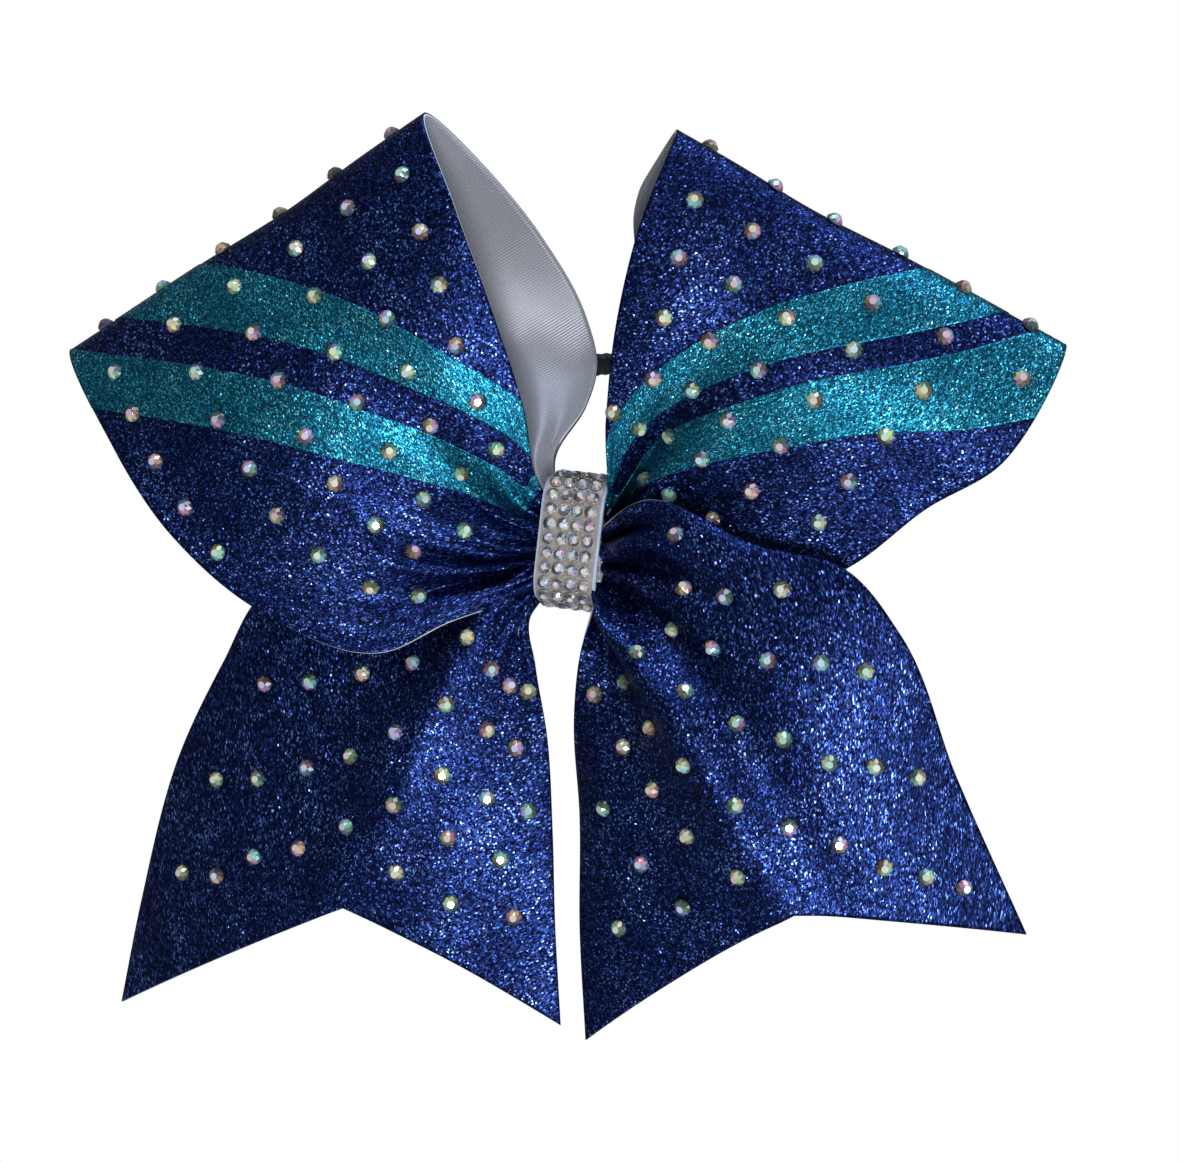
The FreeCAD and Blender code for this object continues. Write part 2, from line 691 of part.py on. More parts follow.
def ring_placement(turn):
    """Ring's centre up and back from the tunnel; turn is degrees round the ring's own axis."""
    rise = math.radians(dim("elastic_rise"))
    middle_radius = dim("elastic_radius") + dim("elastic_thick") / 2
    reach = Vector(0, math.cos(rise), math.sin(rise))
    tunnel = Vector(0, -dim("tunnel_depth"), 0)
    axis = Vector(0, math.sin(rise), -math.cos(rise))
    frame = Rotation(Vector(1, 0, 0).cross(axis) * -1, Vector(0, 0, 0), axis, "ZXY")
    return Placement(tunnel + reach * middle_radius, frame * Rotation(Vector(0, 0, 1), turn))


def build_elastic():
    body, ring = revolved_body("hair_elastic", [("ring", None)], 360)
    fillet = body.newObject("PartDesign::Fillet", "hair_elastic_rounding")
    rims = [f"Edge{index}" for index, edge in enumerate(ring.Shape.Edges, start=1)
            if isinstance(edge.Curve, Part.Circle)]
    fillet.Base = (ring, rims)
    fillet.setExpression("Radius", "Dimensions.elastic_corner")
    body.Tip = fillet
    doc.recompute()
    body.Placement = ring_placement(0)
    return body


def build_joiner():
    sections = [("sleeve", "joiner_wall"), ("core", None)]
    body, ring = revolved_body("elastic_joiner", sections, dim("joiner_angle"))
    body.Placement = ring_placement(dim("joiner_place"))
    return body


# ---------------------------------------------------------------- assembly

FRONT = 1
BACK = -1
LOOP_STEPS = (36, 4)
TAIL_STEPS = (20, 4)

nodes = [build_gather(), build_cinch(), build_pad(), build_band(), build_mesh(),
         build_knot_stones()]
nodes += build_fan("left_loop", LEFT_LOOP, BACK, LOOP_STEPS)
nodes += build_fan("right_loop", RIGHT_LOOP, FRONT, LOOP_STEPS)
nodes += build_fan("left_tail", LEFT_TAIL, FRONT, TAIL_STEPS)
nodes += build_fan("right_tail", RIGHT_TAIL, BACK, TAIL_STEPS)
nodes += [build_elastic(), build_joiner()]
doc.recompute()

for item in doc.Objects:
    if "Invalid" in item.State or "Error" in item.State:
        raise RuntimeError(f"{item.Label} did not build: {item.State}")
for node in nodes:
    if node.Shape.isNull() or not node.Shape.isValid() or node.Shape.Volume <= 0:
        raise RuntimeError(f"{node.Label} has no valid solid")

os.makedirs("parts", exist_ok=True)
for node in nodes:
    node.Shape.exportStep(f"parts/{node.Label}.step")
    size = node.Shape.BoundBox
    print(f"{node.Label:26} {len(node.Shape.Solids):4} solids {node.Shape.Volume:9.1f} mm3"
          f"  x {size.XMin:6.1f}..{size.XMax:6.1f}  y {size.YMin:6.1f}..{size.YMax:6.1f}"
          f"  z {size.ZMin:6.1f}..{size.ZMax:6.1f}")
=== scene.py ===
"""Cheer hair bow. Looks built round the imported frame.

Rails, folds and pitches are in millimetres, as in the part's source, and become metres in Rail.
A ribbon length is addressed by place, 0 at the pinch to 1 at its far end, and by side, -1 at its
outer edge to 1 at its inner edge. Its own flat coordinates, for weave and glitter, are millimetres
along and across the ribbon, kept as a UV map.
"""

import math

import bpy
import numpy as np
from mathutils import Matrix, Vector


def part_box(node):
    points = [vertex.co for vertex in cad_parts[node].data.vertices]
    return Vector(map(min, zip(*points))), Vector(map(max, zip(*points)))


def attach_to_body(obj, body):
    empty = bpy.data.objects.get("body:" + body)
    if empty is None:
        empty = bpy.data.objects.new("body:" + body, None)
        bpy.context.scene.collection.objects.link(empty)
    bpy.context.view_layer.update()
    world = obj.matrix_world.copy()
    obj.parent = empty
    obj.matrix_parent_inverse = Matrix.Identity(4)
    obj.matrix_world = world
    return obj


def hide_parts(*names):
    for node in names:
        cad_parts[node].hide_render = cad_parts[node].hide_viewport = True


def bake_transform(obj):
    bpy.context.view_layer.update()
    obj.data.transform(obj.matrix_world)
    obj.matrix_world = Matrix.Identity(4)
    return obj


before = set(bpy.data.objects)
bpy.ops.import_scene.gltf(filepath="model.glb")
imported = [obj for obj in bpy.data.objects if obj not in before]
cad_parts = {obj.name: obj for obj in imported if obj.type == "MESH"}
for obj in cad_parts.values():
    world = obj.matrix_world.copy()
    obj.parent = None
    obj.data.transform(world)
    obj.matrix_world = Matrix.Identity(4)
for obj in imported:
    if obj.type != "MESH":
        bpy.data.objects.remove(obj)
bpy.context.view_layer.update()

MM = 0.001
RIBBON_WIDTH = 76.0
# Thicknesses of the ribbon, of the glitter film on it and of the stripes on the film.
BACKING = 0.42
FILM = 0.3
STRIPE = 0.14
# How far a stripe's back lies inside the film, so that no gap shows.
STRIPE_SINK = 0.02
# Place of a loop's crest, where its front turns over into its back.
CREST = 0.5
# Points along and across the table of lengths.
TABLE_PLACES = 241
TABLE_SIDES = 41
rng = np.random.default_rng(7)

LEFT_LOOP = {
    "outer": {
        "front": [(-4, -16.5, -7), (-12.5, -19, -11.2), (-21.5, -22.5, -14.5), (-31, -26, -19.2),
                  (-51.5, -29, -12.5), (-69, -29.5, 2), (-81, -27.5, 18), (-91, -20, 34.5)],
        "back": [(-82, -12, 28), (-61, -6, 17), (-35, -6, 4), (-16, -8.5, -3.5), (-4, -9.5, -5)],
    },
    "middle": {
        "front": [(-4, -16.5, -1), (-9, -18, -1.5), (-19, -24, 1.5), (-32, -31, 14.5),
                  (-45, -32, 37.5), (-56, -24, 54.2)],
        "back": [(-52, -9, 43.5), (-36, -1, 26), (-20, -6.5, 11.5), (-10, -9, 4), (-4, -9.5, 1)],
    },
    "inner": {
        "front": [(-3, -15.5, 6), (-5, -18, 9), (-6.5, -25, 22.5), (-11, -31, 40),
                  (-16.5, -33, 56), (-23, -28, 73)],
        "back": [(-14.3, -14, 63.8), (-7.5, -5, 53.8), (-1.3, 1.5, 41), (0.7, 2, 33),
                 (-0.2, -3, 24.5), (-4.9, -8, 14.5), (-4, -9.5, 8)],
    },
}
RIGHT_LOOP = {
    "outer": {
        "front": [(4, -13, -4), (14, -14.5, -8), (30, -18, -12), (50, -20.5, -4), (62, -23, 5),
                  (74, -25, 11.8), (84.5, -20, 31.8)],
        "back": [(73.5, -12, 23.5), (52.5, -6, 12.5), (27.5, -7, 2), (10, -9, -3.5),
                 (4, -9.5, -5)],
    },
    "middle": {
        "front": [(4, -13, 0), (8, -14.5, 2.5), (15, -19.5, 8.5), (28, -27, 20),
                  (41.5, -30, 36), (52, -23, 50.5)],
        "back": [(44, -9, 41.5), (27, -2, 27), (13, -6.5, 13), (4, -9.5, 3)],
    },
    "inner": {
        "front": [(3.5, -13, 2.5), (5, -14.5, 5), (7.5, -23, 20.5), (10.5, -29, 36),
                  (15, -32, 52), (20.5, -28, 68.5)],
        "back": [(11.5, -18, 59.5), (4.5, -8, 54.5), (2.8, 0, 49), (3, 1.5, 42), (4.5, 1.5, 34),
                 (7, -4, 24), (8, -8, 14.5), (4, -9.5, 8)],
    },
}
LEFT_TAIL = {
    "outer": [(-4, -13, -1), (-20, -15, -1), (-42, -16.5, -3), (-56.5, -16.5, -9.5),
              (-64.5, -14, -21.5), (-74, -11, -38.5), (-82.3, -9, -66), (-86.5, -8, -84.5)],
    "middle": [(-4, -13, -5), (-14.3, -18, -17.5), (-24.6, -21, -35), (-32.4, -21, -51),
               (-40, -20, -64.5), (-43.5, -19, -84)],
    "inner": [(-4, -13, -9), (-8, -13.5, -13), (-6.8, -15, -22), (-4.5, -16, -34),
              (-3.5, -16, -50.5), (-3, -16, -67), (-2, -16, -84.5)],
}
RIGHT_TAIL = {
    "outer": [(4, -16.5, 1), (6, -18.5, 2.5), (14, -24.5, 6.5), (34, -28, -1), (49.5, -28, -5.5),
              (58, -27, -16), (66.6, -21, -39.5), (78, -15, -66.5)],
    "middle": [(4, -16.5, -4), (13, -22, -13.5), (24.4, -27, -30.5), (33, -25.5, -49),
               (40, -23, -63), (43, -21, -77)],
    "inner": [(3, -16.5, -8), (3.2, -17, -11.5), (1.8, -17.5, -19), (0.5, -16, -31),
              (1, -13.5, -48), (0.8, -12.5, -69), (1.8, -12.5, -87.5)],
}
# Root of the notch, as (X, Z), and how far its outer and inner sides bow upwards.
NOTCH = {
    "left_tail": ((-40, -64.5), (0.5, 1.0)),
    "right_tail": ((40, -63), (0.5, 1.1)),
}

# A stripe's upper and lower sides: distance from the crest, down the front, at the outer and at the
# inner edge.
STRIPES = {
    "left_loop": {
        "stripe_upper": ((-29.5, 54.5), (-9.0, 65.0)),
        "stripe_lower": ((0.5, 75.5), (14.5, 91.5)),
    },
    "right_loop": {
        "stripe_upper": ((-30.0, 57.0), (-12.0, 71.0)),
        "stripe_lower": ((-6.0, 82.0), (14.0, 98.0)),
    },
}
# How near to the pinch a stripe's upper and lower sides may come.
STRIPE_PINCH = (7.5, 5.0)

# Folds: side at the pinch, side far from it, half width in side, height (negative goes in), how soon
# it bends to its far side, and its reach along the ribbon. The back of a loop has its own, measured
# from its own end at the pinch.
FOLDS = {
    "left_loop": {
        "front": [(-0.20, -0.30, 0.075, -3.6, 12, 26), (-0.24, -0.42, 0.065, 2.2, 14, 26),
                  (-0.36, -0.75, 0.13, -4.6, 20, 28), (0.18, -0.08, 0.15, 2.4, 24, 30),
                  (0.45, 0.35, 0.12, -2.8, 12, 22), (0.15, 0.14, 0.34, -4.0, 30, 62)],
        "back": [(0.30, 0.40, 0.16, 3.0, 20, 30), (0.62, 0.70, 0.12, -3.0, 20, 34),
                 (-0.20, -0.20, 0.18, -2.4, 20, 26)],
    },
    "right_loop": {
        "front": [(0.45, 0.35, 0.16, -3.0, 14, 26), (0.05, 0.05, 0.14, 2.2, 14, 28),
                  (-0.35, -0.35, 0.16, -2.8, 14, 28), (0.30, 0.22, 0.34, -3.2, 30, 60)],
        "back": [(0.30, 0.40, 0.14, -3.6, 20, 36), (-0.05, -0.10, 0.14, 0.8, 20, 26),
                 (-0.40, -0.45, 0.14, -3.8, 20, 34), (-0.75, -0.75, 0.12, 0.8, 20, 26)],
    },
    "left_tail": {
        "front": [(-0.90, -0.06, 0.17, 3.0, 8, 60), (0.30, 0.40, 0.16, -1.6, 10, 30),
                  (-0.95, -0.50, 0.26, -2.2, 12, 62), (0.70, 0.62, 0.22, -1.4, 12, 80)],
    },
    "right_tail": {
        "front": [(-0.70, -0.88, 0.07, -3.4, 12, 17), (-0.42, -1.00, 0.10, 2.4, 20, 22),
                  (-0.08, -0.62, 0.09, -3.8, 10, 26), (0.30, -0.20, 0.16, -3.8, 12, 46),
                  (0.72, 0.04, 0.14, 3.8, 15, 72), (1.00, 0.52, 0.20, -2.8, 12, 60)],
    },
}
# Folds start flat where the knot holds them down and rise to their height over this distance.
FOLD_EMERGE = 8.0

# Fine pleats right at the pinch: height in loops and in tails, half waves in one unit of side, phase,
# how deep all of them lie, their reach along the ribbon, and how fast they fade in from the inner edge.
LOOP_PLEATS = 0.65
TAIL_PLEATS = 0.4
PLEAT_WAVES = 9.5
PLEAT_PHASE = 0.6
PLEAT_SINK = 0.4
PLEAT_REACH = 13.0
PLEAT_FADE = 5

# Inner edge of a loop's back, rolled forward: side where the roll starts, where it begins and ends
# behind the crest, and how far the edge itself moves. It comes and goes over CURL_RAMP.
CURLS = {"right_loop": ((0.72, 12.0, 68.0), (6.5, -5.0, -1.0))}
CURL_RAMP = 22.0

# Outer edge turned out, or in if negative: height, width in side, and where along the ribbon it starts
# and ends. It comes over the first of FLARE_RAMPS and goes over the second.
FLARES = {
    "left_loop": [(1.2, 0.09, 14.0, 95.0), (-5.0, 0.14, -10.0, 12.0)],
    "right_tail": [(-1.2, 0.09, 14.0, 56.0)],
}
FLARE_RAMPS = (8.0, 20.0)
# Flares and rolls start gently and steepen towards the edge by this power.
EDGE_POWER = 1.5


# ---------------------------------------------------------------- ribbon surfaces


class Rail:
    """A smooth line through a few points, from 0 at the pinch to 1 at its end."""

    def __init__(self, points, crest=None):
        self.points = np.array(points, float) * MM
        steps = np.linalg.norm(np.diff(self.points, axis=0), axis=1)
        lengths = np.concatenate(([0.0], np.cumsum(steps)))
        if crest is None:
            self.knots = lengths / lengths[-1]
        else:
            front = lengths[crest]
            before = CREST * lengths / front
            after = CREST + (1 - CREST) * (lengths - front) / (lengths[-1] - front)
            self.knots = np.where(np.arange(len(lengths)) <= crest, before, after)
        gaps = np.diff(self.knots)[:, None]
        chords = np.diff(self.points, axis=0) / gaps
        inner = (chords[:-1] * gaps[1:] + chords[1:] * gaps[:-1]) / (gaps[:-1] + gaps[1:])
        self.slopes = np.vstack((chords[:1], inner, chords[-1:]))

    def at(self, place):
        index = np.clip(np.searchsorted(self.knots, place) - 1, 0, len(self.knots) - 2)
        step = (self.knots[index + 1] - self.knots[index])[..., None]
        part = (place - self.knots[index])[..., None] / step
        square, cube = part ** 2, part ** 3
        return (self.points[index] * (2 * cube - 3 * square + 1)
                + self.slopes[index] * step * (cube - 2 * square + part)
                + self.points[index + 1] * (3 * square - 2 * cube)
                + self.slopes[index + 1] * step * (cube - square))


def clamp(value):
    return np.clip(value, 0.0, 1.0)


def unit(vectors):
    return vectors / np.maximum(np.linalg.norm(vectors, axis=-1, keepdims=True), 1e-12)


class Fan:
    """A length of ribbon between three rails, with its folds."""

    def __init__(self, name, rails, facing):
        self.name = name
        self.is_loop = isinstance(rails["middle"], dict)
        self.rails = [self.rail(rails[key]) for key in ("outer", "middle", "inner")]
        self.facing = facing
        self.folds = FOLDS[name]
        self.places = np.linspace(0, 1, TABLE_PLACES)
        self.sides = np.linspace(-1, 1, TABLE_SIDES)
        grid = self.plain(self.places[:, None], self.sides[None, :])
        steps = np.linalg.norm(np.diff(grid, axis=0), axis=2) / MM
        self.lengths = np.vstack((np.zeros(TABLE_SIDES), np.cumsum(steps, axis=0)))

    @staticmethod
    def rail(points):
        if isinstance(points, dict):
            return Rail(points["front"] + points["back"], crest=len(points["front"]) - 1)
        return Rail(points)

    def plain(self, place, side):
        place, side = np.broadcast_arrays(np.asarray(place, float), np.asarray(side, float))
        outer, middle, inner = (rail.at(place) for rail in self.rails)
        across = side[..., None]
        return (outer * (across * (across - 1) / 2)
                + middle * (1 - across ** 2)
                + inner * (across * (across + 1) / 2))

    def normal_of(self, surface, place, side):
        reach = 0.003
        ahead, behind = np.minimum(place + reach, 1), np.maximum(place - reach, 0)
        along = surface(ahead, side) - surface(behind, side)
        across = surface(place, side + reach) - surface(place, side - reach)
        return unit(np.cross(along, across)) * self.facing

    def length_at(self, place, side):
        """Millimetres along the ribbon from the pinch."""
        column = np.interp(side, self.sides, np.arange(TABLE_SIDES))
        row = np.asarray(place) * (TABLE_PLACES - 1)
        low_row = np.clip(row.astype(int), 0, TABLE_PLACES - 2)
        low_column = np.clip(column.astype(int), 0, TABLE_SIDES - 2)
        row_part, column_part = row - low_row, column - low_column

        def between_columns(table_row):
            return (self.lengths[table_row, low_column] * (1 - column_part)
                    + self.lengths[table_row, low_column + 1] * column_part)

        return between_columns(low_row) * (1 - row_part) + between_columns(low_row + 1) * row_part

    def crest_length(self, side):
        row = int(CREST * (TABLE_PLACES - 1))
        return np.interp(side, self.sides, self.lengths[row])

    def whole_length(self, side):
        return np.interp(side, self.sides, self.lengths[-1])

    def place_at(self, length, side):
        """Place of points at these lengths, all on one side."""
        column = np.array([np.interp(side, self.sides, row) for row in self.lengths])
        return np.interp(length, column, self.places)

    def fold_height(self, place, side):
        """Millimetres that the ribbon stands out from its plain surface."""
        length = self.length_at(place, side)
        height = np.zeros_like(length)
        pleats = LOOP_PLEATS if self.is_loop else TAIL_PLEATS
        spans = [("front", length)]
        if self.is_loop:
            spans.append(("back", self.whole_length(side) - length))
        for span, distance in spans:
            for near, far, width, rise, bend, reach in self.folds[span]:
                fade = np.exp(-(distance / reach) ** 2)
                if rise > 0:
                    fade = fade * clamp(distance / FOLD_EMERGE)
                centre = far + (near - far) * np.exp(-distance / bend)
                height = height + rise * fade * np.exp(-((side - centre) / width) ** 2)
            fine = pleats * np.cos(side * PLEAT_WAVES * math.pi + PLEAT_PHASE) - PLEAT_SINK
            fade = np.exp(-(distance / PLEAT_REACH) ** 2) * clamp((1 - side) * PLEAT_FADE)
            height = height + fine * fade
        start_ramp, end_ramp = FLARE_RAMPS
        for rise, width, low, high in FLARES.get(self.name, ()):
            along = clamp((length - low) / start_ramp) * clamp((high - length) / end_ramp)
            height = height + rise * along * clamp(1 - (side + 1) / width) ** EDGE_POWER
        return height

    def curl(self, place, side):
        """Millimetres that the inner edge rolls forward behind a loop, as vectors."""
        if self.name not in CURLS:
            return np.zeros((*place.shape, 3))
        (start, low, high), move = CURLS[self.name]
        behind = self.length_at(place, side) - self.crest_length(side)
        along = clamp((behind - low) / CURL_RAMP) * clamp((high - behind) / CURL_RAMP)
        roll = clamp((side - start) / (1 - start))
        amount = along * along * (3 - 2 * along) * roll ** EDGE_POWER
        return amount[..., None] * np.array(move)

    def folded(self, place, side):
        place, side = np.broadcast_arrays(np.asarray(place, float), np.asarray(side, float))
        rise = self.fold_height(place, side)[..., None] * self.normal_of(self.plain, place, side)
        return self.plain(place, side) + (rise + self.curl(place, side)) * MM

    def at(self, place, side, offset=0.0):
        """Points and outward directions on the folded ribbon, offset in millimetres."""
        place, side = np.broadcast_arrays(np.asarray(place, float), np.asarray(side, float))
        normals = self.normal_of(self.folded, place, side)
        return self.folded(place, side) + normals * offset * MM, normals


# ---------------------------------------------------------------- mesh helpers


def add_mesh(name, vertices, faces, uvs=None, face_materials=None, materials=(), smooth=True):
    mesh = bpy.data.meshes.new(name)
    mesh.from_pydata([tuple(vertex) for vertex in vertices], [], faces)
    piece = bpy.data.objects.new(name, mesh)
    bpy.context.scene.collection.objects.link(piece)
    for material in materials:
        mesh.materials.append(material)
    if uvs is not None:
        layer = mesh.uv_layers.new(name="ribbon")
        corner_vertices = np.zeros(len(mesh.loops), int)
        mesh.loops.foreach_get("vertex_index", corner_vertices)
        layer.data.foreach_set("uv", np.asarray(uvs, float)[corner_vertices].ravel())
    if face_materials is not None:
        mesh.polygons.foreach_set("material_index", np.asarray(face_materials, np.int32))
    mesh.polygons.foreach_set("use_smooth", np.full(len(mesh.polygons), smooth))
    mesh.update()
    return piece


def strip_faces(rows, columns, start=0, flip=False):
    """Quads of a grid of vertices, rows by columns."""
    faces = []
    for row in range(rows - 1):
        for column in range(columns - 1):
            corner = start + row * columns + column
            face = (corner, corner + 1, corner + columns + 1, corner + columns)
            faces.append(face[::-1] if flip else face)
    return faces


def ribbon_sheet(name, fan, place, side, low, high, face_material, edge_material):
    """Closed thin sheet between two offsets of a fan, over a grid of places and sides."""
    rows, columns = place.shape
    inner_points, _ = fan.at(place, side, low)
    outer_points, _ = fan.at(place, side, high)
    vertices = np.vstack((inner_points.reshape(-1, 3), outer_points.reshape(-1, 3)))
    along = fan.length_at(place, side)
    if fan.is_loop:
        along = fan.crest_length(side) - along
    steps = np.linalg.norm(np.diff(outer_points, axis=1), axis=2) / MM
    across = np.hstack((np.zeros((rows, 1)), np.cumsum(steps, axis=1)))
    across -= across[:, columns // 2][:, None]
    flat = np.stack((along, across), axis=-1).reshape(-1, 2)
    uvs = np.vstack((flat, flat))
    count = rows * columns
    outward = fan.facing > 0
    faces = strip_faces(rows, columns, 0, flip=outward)
    faces += strip_faces(rows, columns, count, flip=not outward)
    kinds = [0] * len(faces)
    top = [row * columns for row in range(rows)]
    bottom = [row * columns + columns - 1 for row in range(rows)]
    start = list(range(columns))
    end = [(rows - 1) * columns + column for column in range(columns)]
    for border, reverse in ((top, False), (bottom, True), (start, True), (end, False)):
        for first, second in zip(border, border[1:]):
            face = (first, second, second + count, first + count)
            faces.append(face if reverse == outward else face[::-1])
            kinds.append(1)
    return add_mesh(name, vertices, faces, uvs, kinds, (face_material, edge_material))


def crystal_form():
    """Vertices and faces of one brilliant-cut flat-back stone of radius 1 and height 1."""
    def ring(count, radius, height, turn=0.0):
        angles = 2 * math.pi * (np.arange(count) + turn) / count
        return [(radius * math.cos(a), radius * math.sin(a), height) for a in angles]

    sides, girdle = 8, 16
    table_radius, main_radius, base_radius = 0.42, 0.76, 0.98
    main_height, girdle_height = 0.64, 0.24
    vertices = (ring(sides, table_radius, 1.0) + ring(sides, main_radius, main_height, 0.5)
                + ring(girdle, 1.0, girdle_height) + ring(girdle, base_radius, 0.0))
    main_start, girdle_start, base_start = sides, 2 * sides, 2 * sides + girdle
    faces = [tuple(range(sides))]
    for step in range(sides):
        after = (step + 1) % sides
        this_main = main_start + step
        last_main = main_start + (step - 1) % sides
        here = girdle_start + 2 * step
        between = here + 1
        ahead = girdle_start + 2 * after
        faces.append((step, this_main, after))
        faces.append((last_main, here, this_main, step))
        faces.append((this_main, here, between))
        faces.append((this_main, between, ahead))
    for step in range(girdle):
        after = (step + 1) % girdle
        faces.append((base_start + step, base_start + after, girdle_start + after,
                      girdle_start + step))
    faces.append(tuple(reversed(range(base_start, base_start + girdle))))
    return np.array(vertices), faces


CRYSTAL_VERTICES, CRYSTAL_FACES = crystal_form()


def frame_on(axis, spin):
    """Rotation whose third column is axis, turned about it by spin."""
    axis = np.asarray(axis) / np.linalg.norm(axis)
    is_upright = abs(axis[2]) >= 0.9
    guide = np.array((1.0, 0.0, 0.0)) if is_upright else np.array((0.0, 0.0, 1.0))
    first = unit(np.cross(guide, axis))
    second = np.cross(axis, first)
    cos, sin = math.cos(spin), math.sin(spin)
    return np.column_stack((first * cos + second * sin, second * cos - first * sin, axis))


# Tints of facets: how many colours of the palette the hue drifts over and its scatter, how white the
# painted highlight on the table is, how dark the painted shade on the far side and on the rim is, how
# the painted light falls off round the stone, and the least random brightness of the table and of
# other facets.
HUE_DRIFT = 1.6
HUE_SCATTER = 0.5
PAINTED_TABLE_HIGHLIGHT = 0.4
PAINTED_FAR_SHADE = 0.16
PAINTED_RIM_SHADE = 0.35
PAINTED_LIGHT_POWER = 1.3
TABLE_LEAST = 0.75
FACET_LEAST = 0.7
# Facets with their middle nearer to the axis than the first are the table, further than the second rim.
TABLE_REACH = 0.1
RIM_REACH = 0.84


def facet_colour_with_painted_light(face, palette, hue, painted_lit_side, turning):
    """Colour of a facet: its hue drifting round, painted light on one side of the stone, painted shade
    on the far side and on the rim, and a painted highlight on the table.
    """
    x, y, _ = CRYSTAL_VERTICES[list(face)].mean(axis=0)
    reach, angle = math.hypot(x, y), math.atan2(y, x)
    drift = HUE_DRIFT * math.sin(angle + turning) + rng.normal(0, HUE_SCATTER)
    tint = np.array(palette[(hue + round(drift)) % len(palette)])
    if reach < TABLE_REACH:
        # Painted highlight: the table is drawn whiter than its hue.
        return ((1 - PAINTED_TABLE_HIGHLIGHT) * tint + PAINTED_TABLE_HIGHLIGHT) * rng.uniform(TABLE_LEAST, 1.0)
    # Painted light and shade: facets towards the lit side are drawn lighter, those on the far side and
    # on the rim darker.
    facing_painted_light = 0.5 + 0.5 * math.cos(angle - painted_lit_side)
    light = PAINTED_FAR_SHADE + (1 - PAINTED_FAR_SHADE) * facing_painted_light ** PAINTED_LIGHT_POWER
    rim = PAINTED_RIM_SHADE if reach > RIM_REACH else 1.0
    return tint * light * rim * rng.uniform(FACET_LEAST, 1.0)


def crystals(name, seats, radius, height, palette, material, tilt=0.06):
    """One mesh of faceted stones, each facet with its own tint and its painted light and shade."""
    vertices, faces, facet_colours_with_painted_light = [], [], []
    for seat, axis in seats:
        leaned = np.asarray(axis) + rng.normal(0, tilt, 3)
        turn = frame_on(leaned, rng.uniform(0, math.tau))
        local = CRYSTAL_VERTICES * (radius * MM, radius * MM, height * MM)
        start = len(vertices)
        vertices.extend(local @ turn.T + seat)
        hue = rng.integers(len(palette))
        # Side of the stone that gets the painted light, and the phase of its hue drift.
        painted_lit_side, turning = rng.uniform(0, math.tau, 2)
        for face in CRYSTAL_FACES:
            faces.append(tuple(start + corner for corner in face))
            facet_colours_with_painted_light.append(facet_colour_with_painted_light(face, palette, hue, painted_lit_side, turning))
    piece = add_mesh(name, vertices, faces, materials=(material,), smooth=False)
    # The facet colours, painted light and shade included, go into this attribute.
    layer = piece.data.color_attributes.new("facet", "FLOAT_COLOR", "CORNER")
    colours = []
    for polygon, tint in zip(piece.data.polygons, facet_colours_with_painted_light):
        colours.extend([*tint, 1.0] * polygon.loop_total)
    layer.data.foreach_set("color", colours)
    return piece


# ---------------------------------------------------------------- materials


class Nodes:
    """Short way to write a material's nodes."""

    def __init__(self, name):
        self.material = bpy.data.materials.new(name)
        self.material.use_nodes = True
        self.tree = self.material.node_tree
        self.shader = self.tree.nodes["Principled BSDF"]

    def add(self, kind, inputs=None, **settings):
        node = self.tree.nodes.new(kind)
        for key, value in settings.items():
            setattr(node, key, value)
        for key, value in (inputs or {}).items():
            self.put(node.inputs[key], value)
        return node

    def put(self, socket, value):
        if isinstance(value, bpy.types.NodeSocket):
            self.tree.links.new(value, socket)
        else:
            socket.default_value = value

    def math(self, operation, *values):
        node = self.tree.nodes.new("ShaderNodeMath")
        node.operation = operation
        for socket, value in zip(node.inputs, values):
            self.put(socket, value)
        return node.outputs[0]

    def ramp(self, factor, stops):
        node = self.tree.nodes.new("ShaderNodeValToRGB")
        elements = node.color_ramp.elements
        while len(elements) < len(stops):
            elements.new(0.5)
        for element, (position, colour) in zip(elements, stops):
            element.position = position
            element.color = colour
        self.put(node.inputs[0], factor)
        return node.outputs[0]

    def surface(self, **inputs):
        for key, value in inputs.items():
            self.put(self.shader.inputs[key.replace("_", " ").title()], value)
        return self.material


FLECK = 0.25
FLECK_ROUGHNESS = 0.34
# How far a fleck leans at most, and the share of that which a fleck near the middle gets.
FLECK_LEAN = 0.27
FLECK_NEAR = 0.15
# Clouds of lighter and darker film: their scale, and how far they shift the flecks' colours.
CLOUD_SCALE = 0.09
CLOUD_SHIFT = 0.24


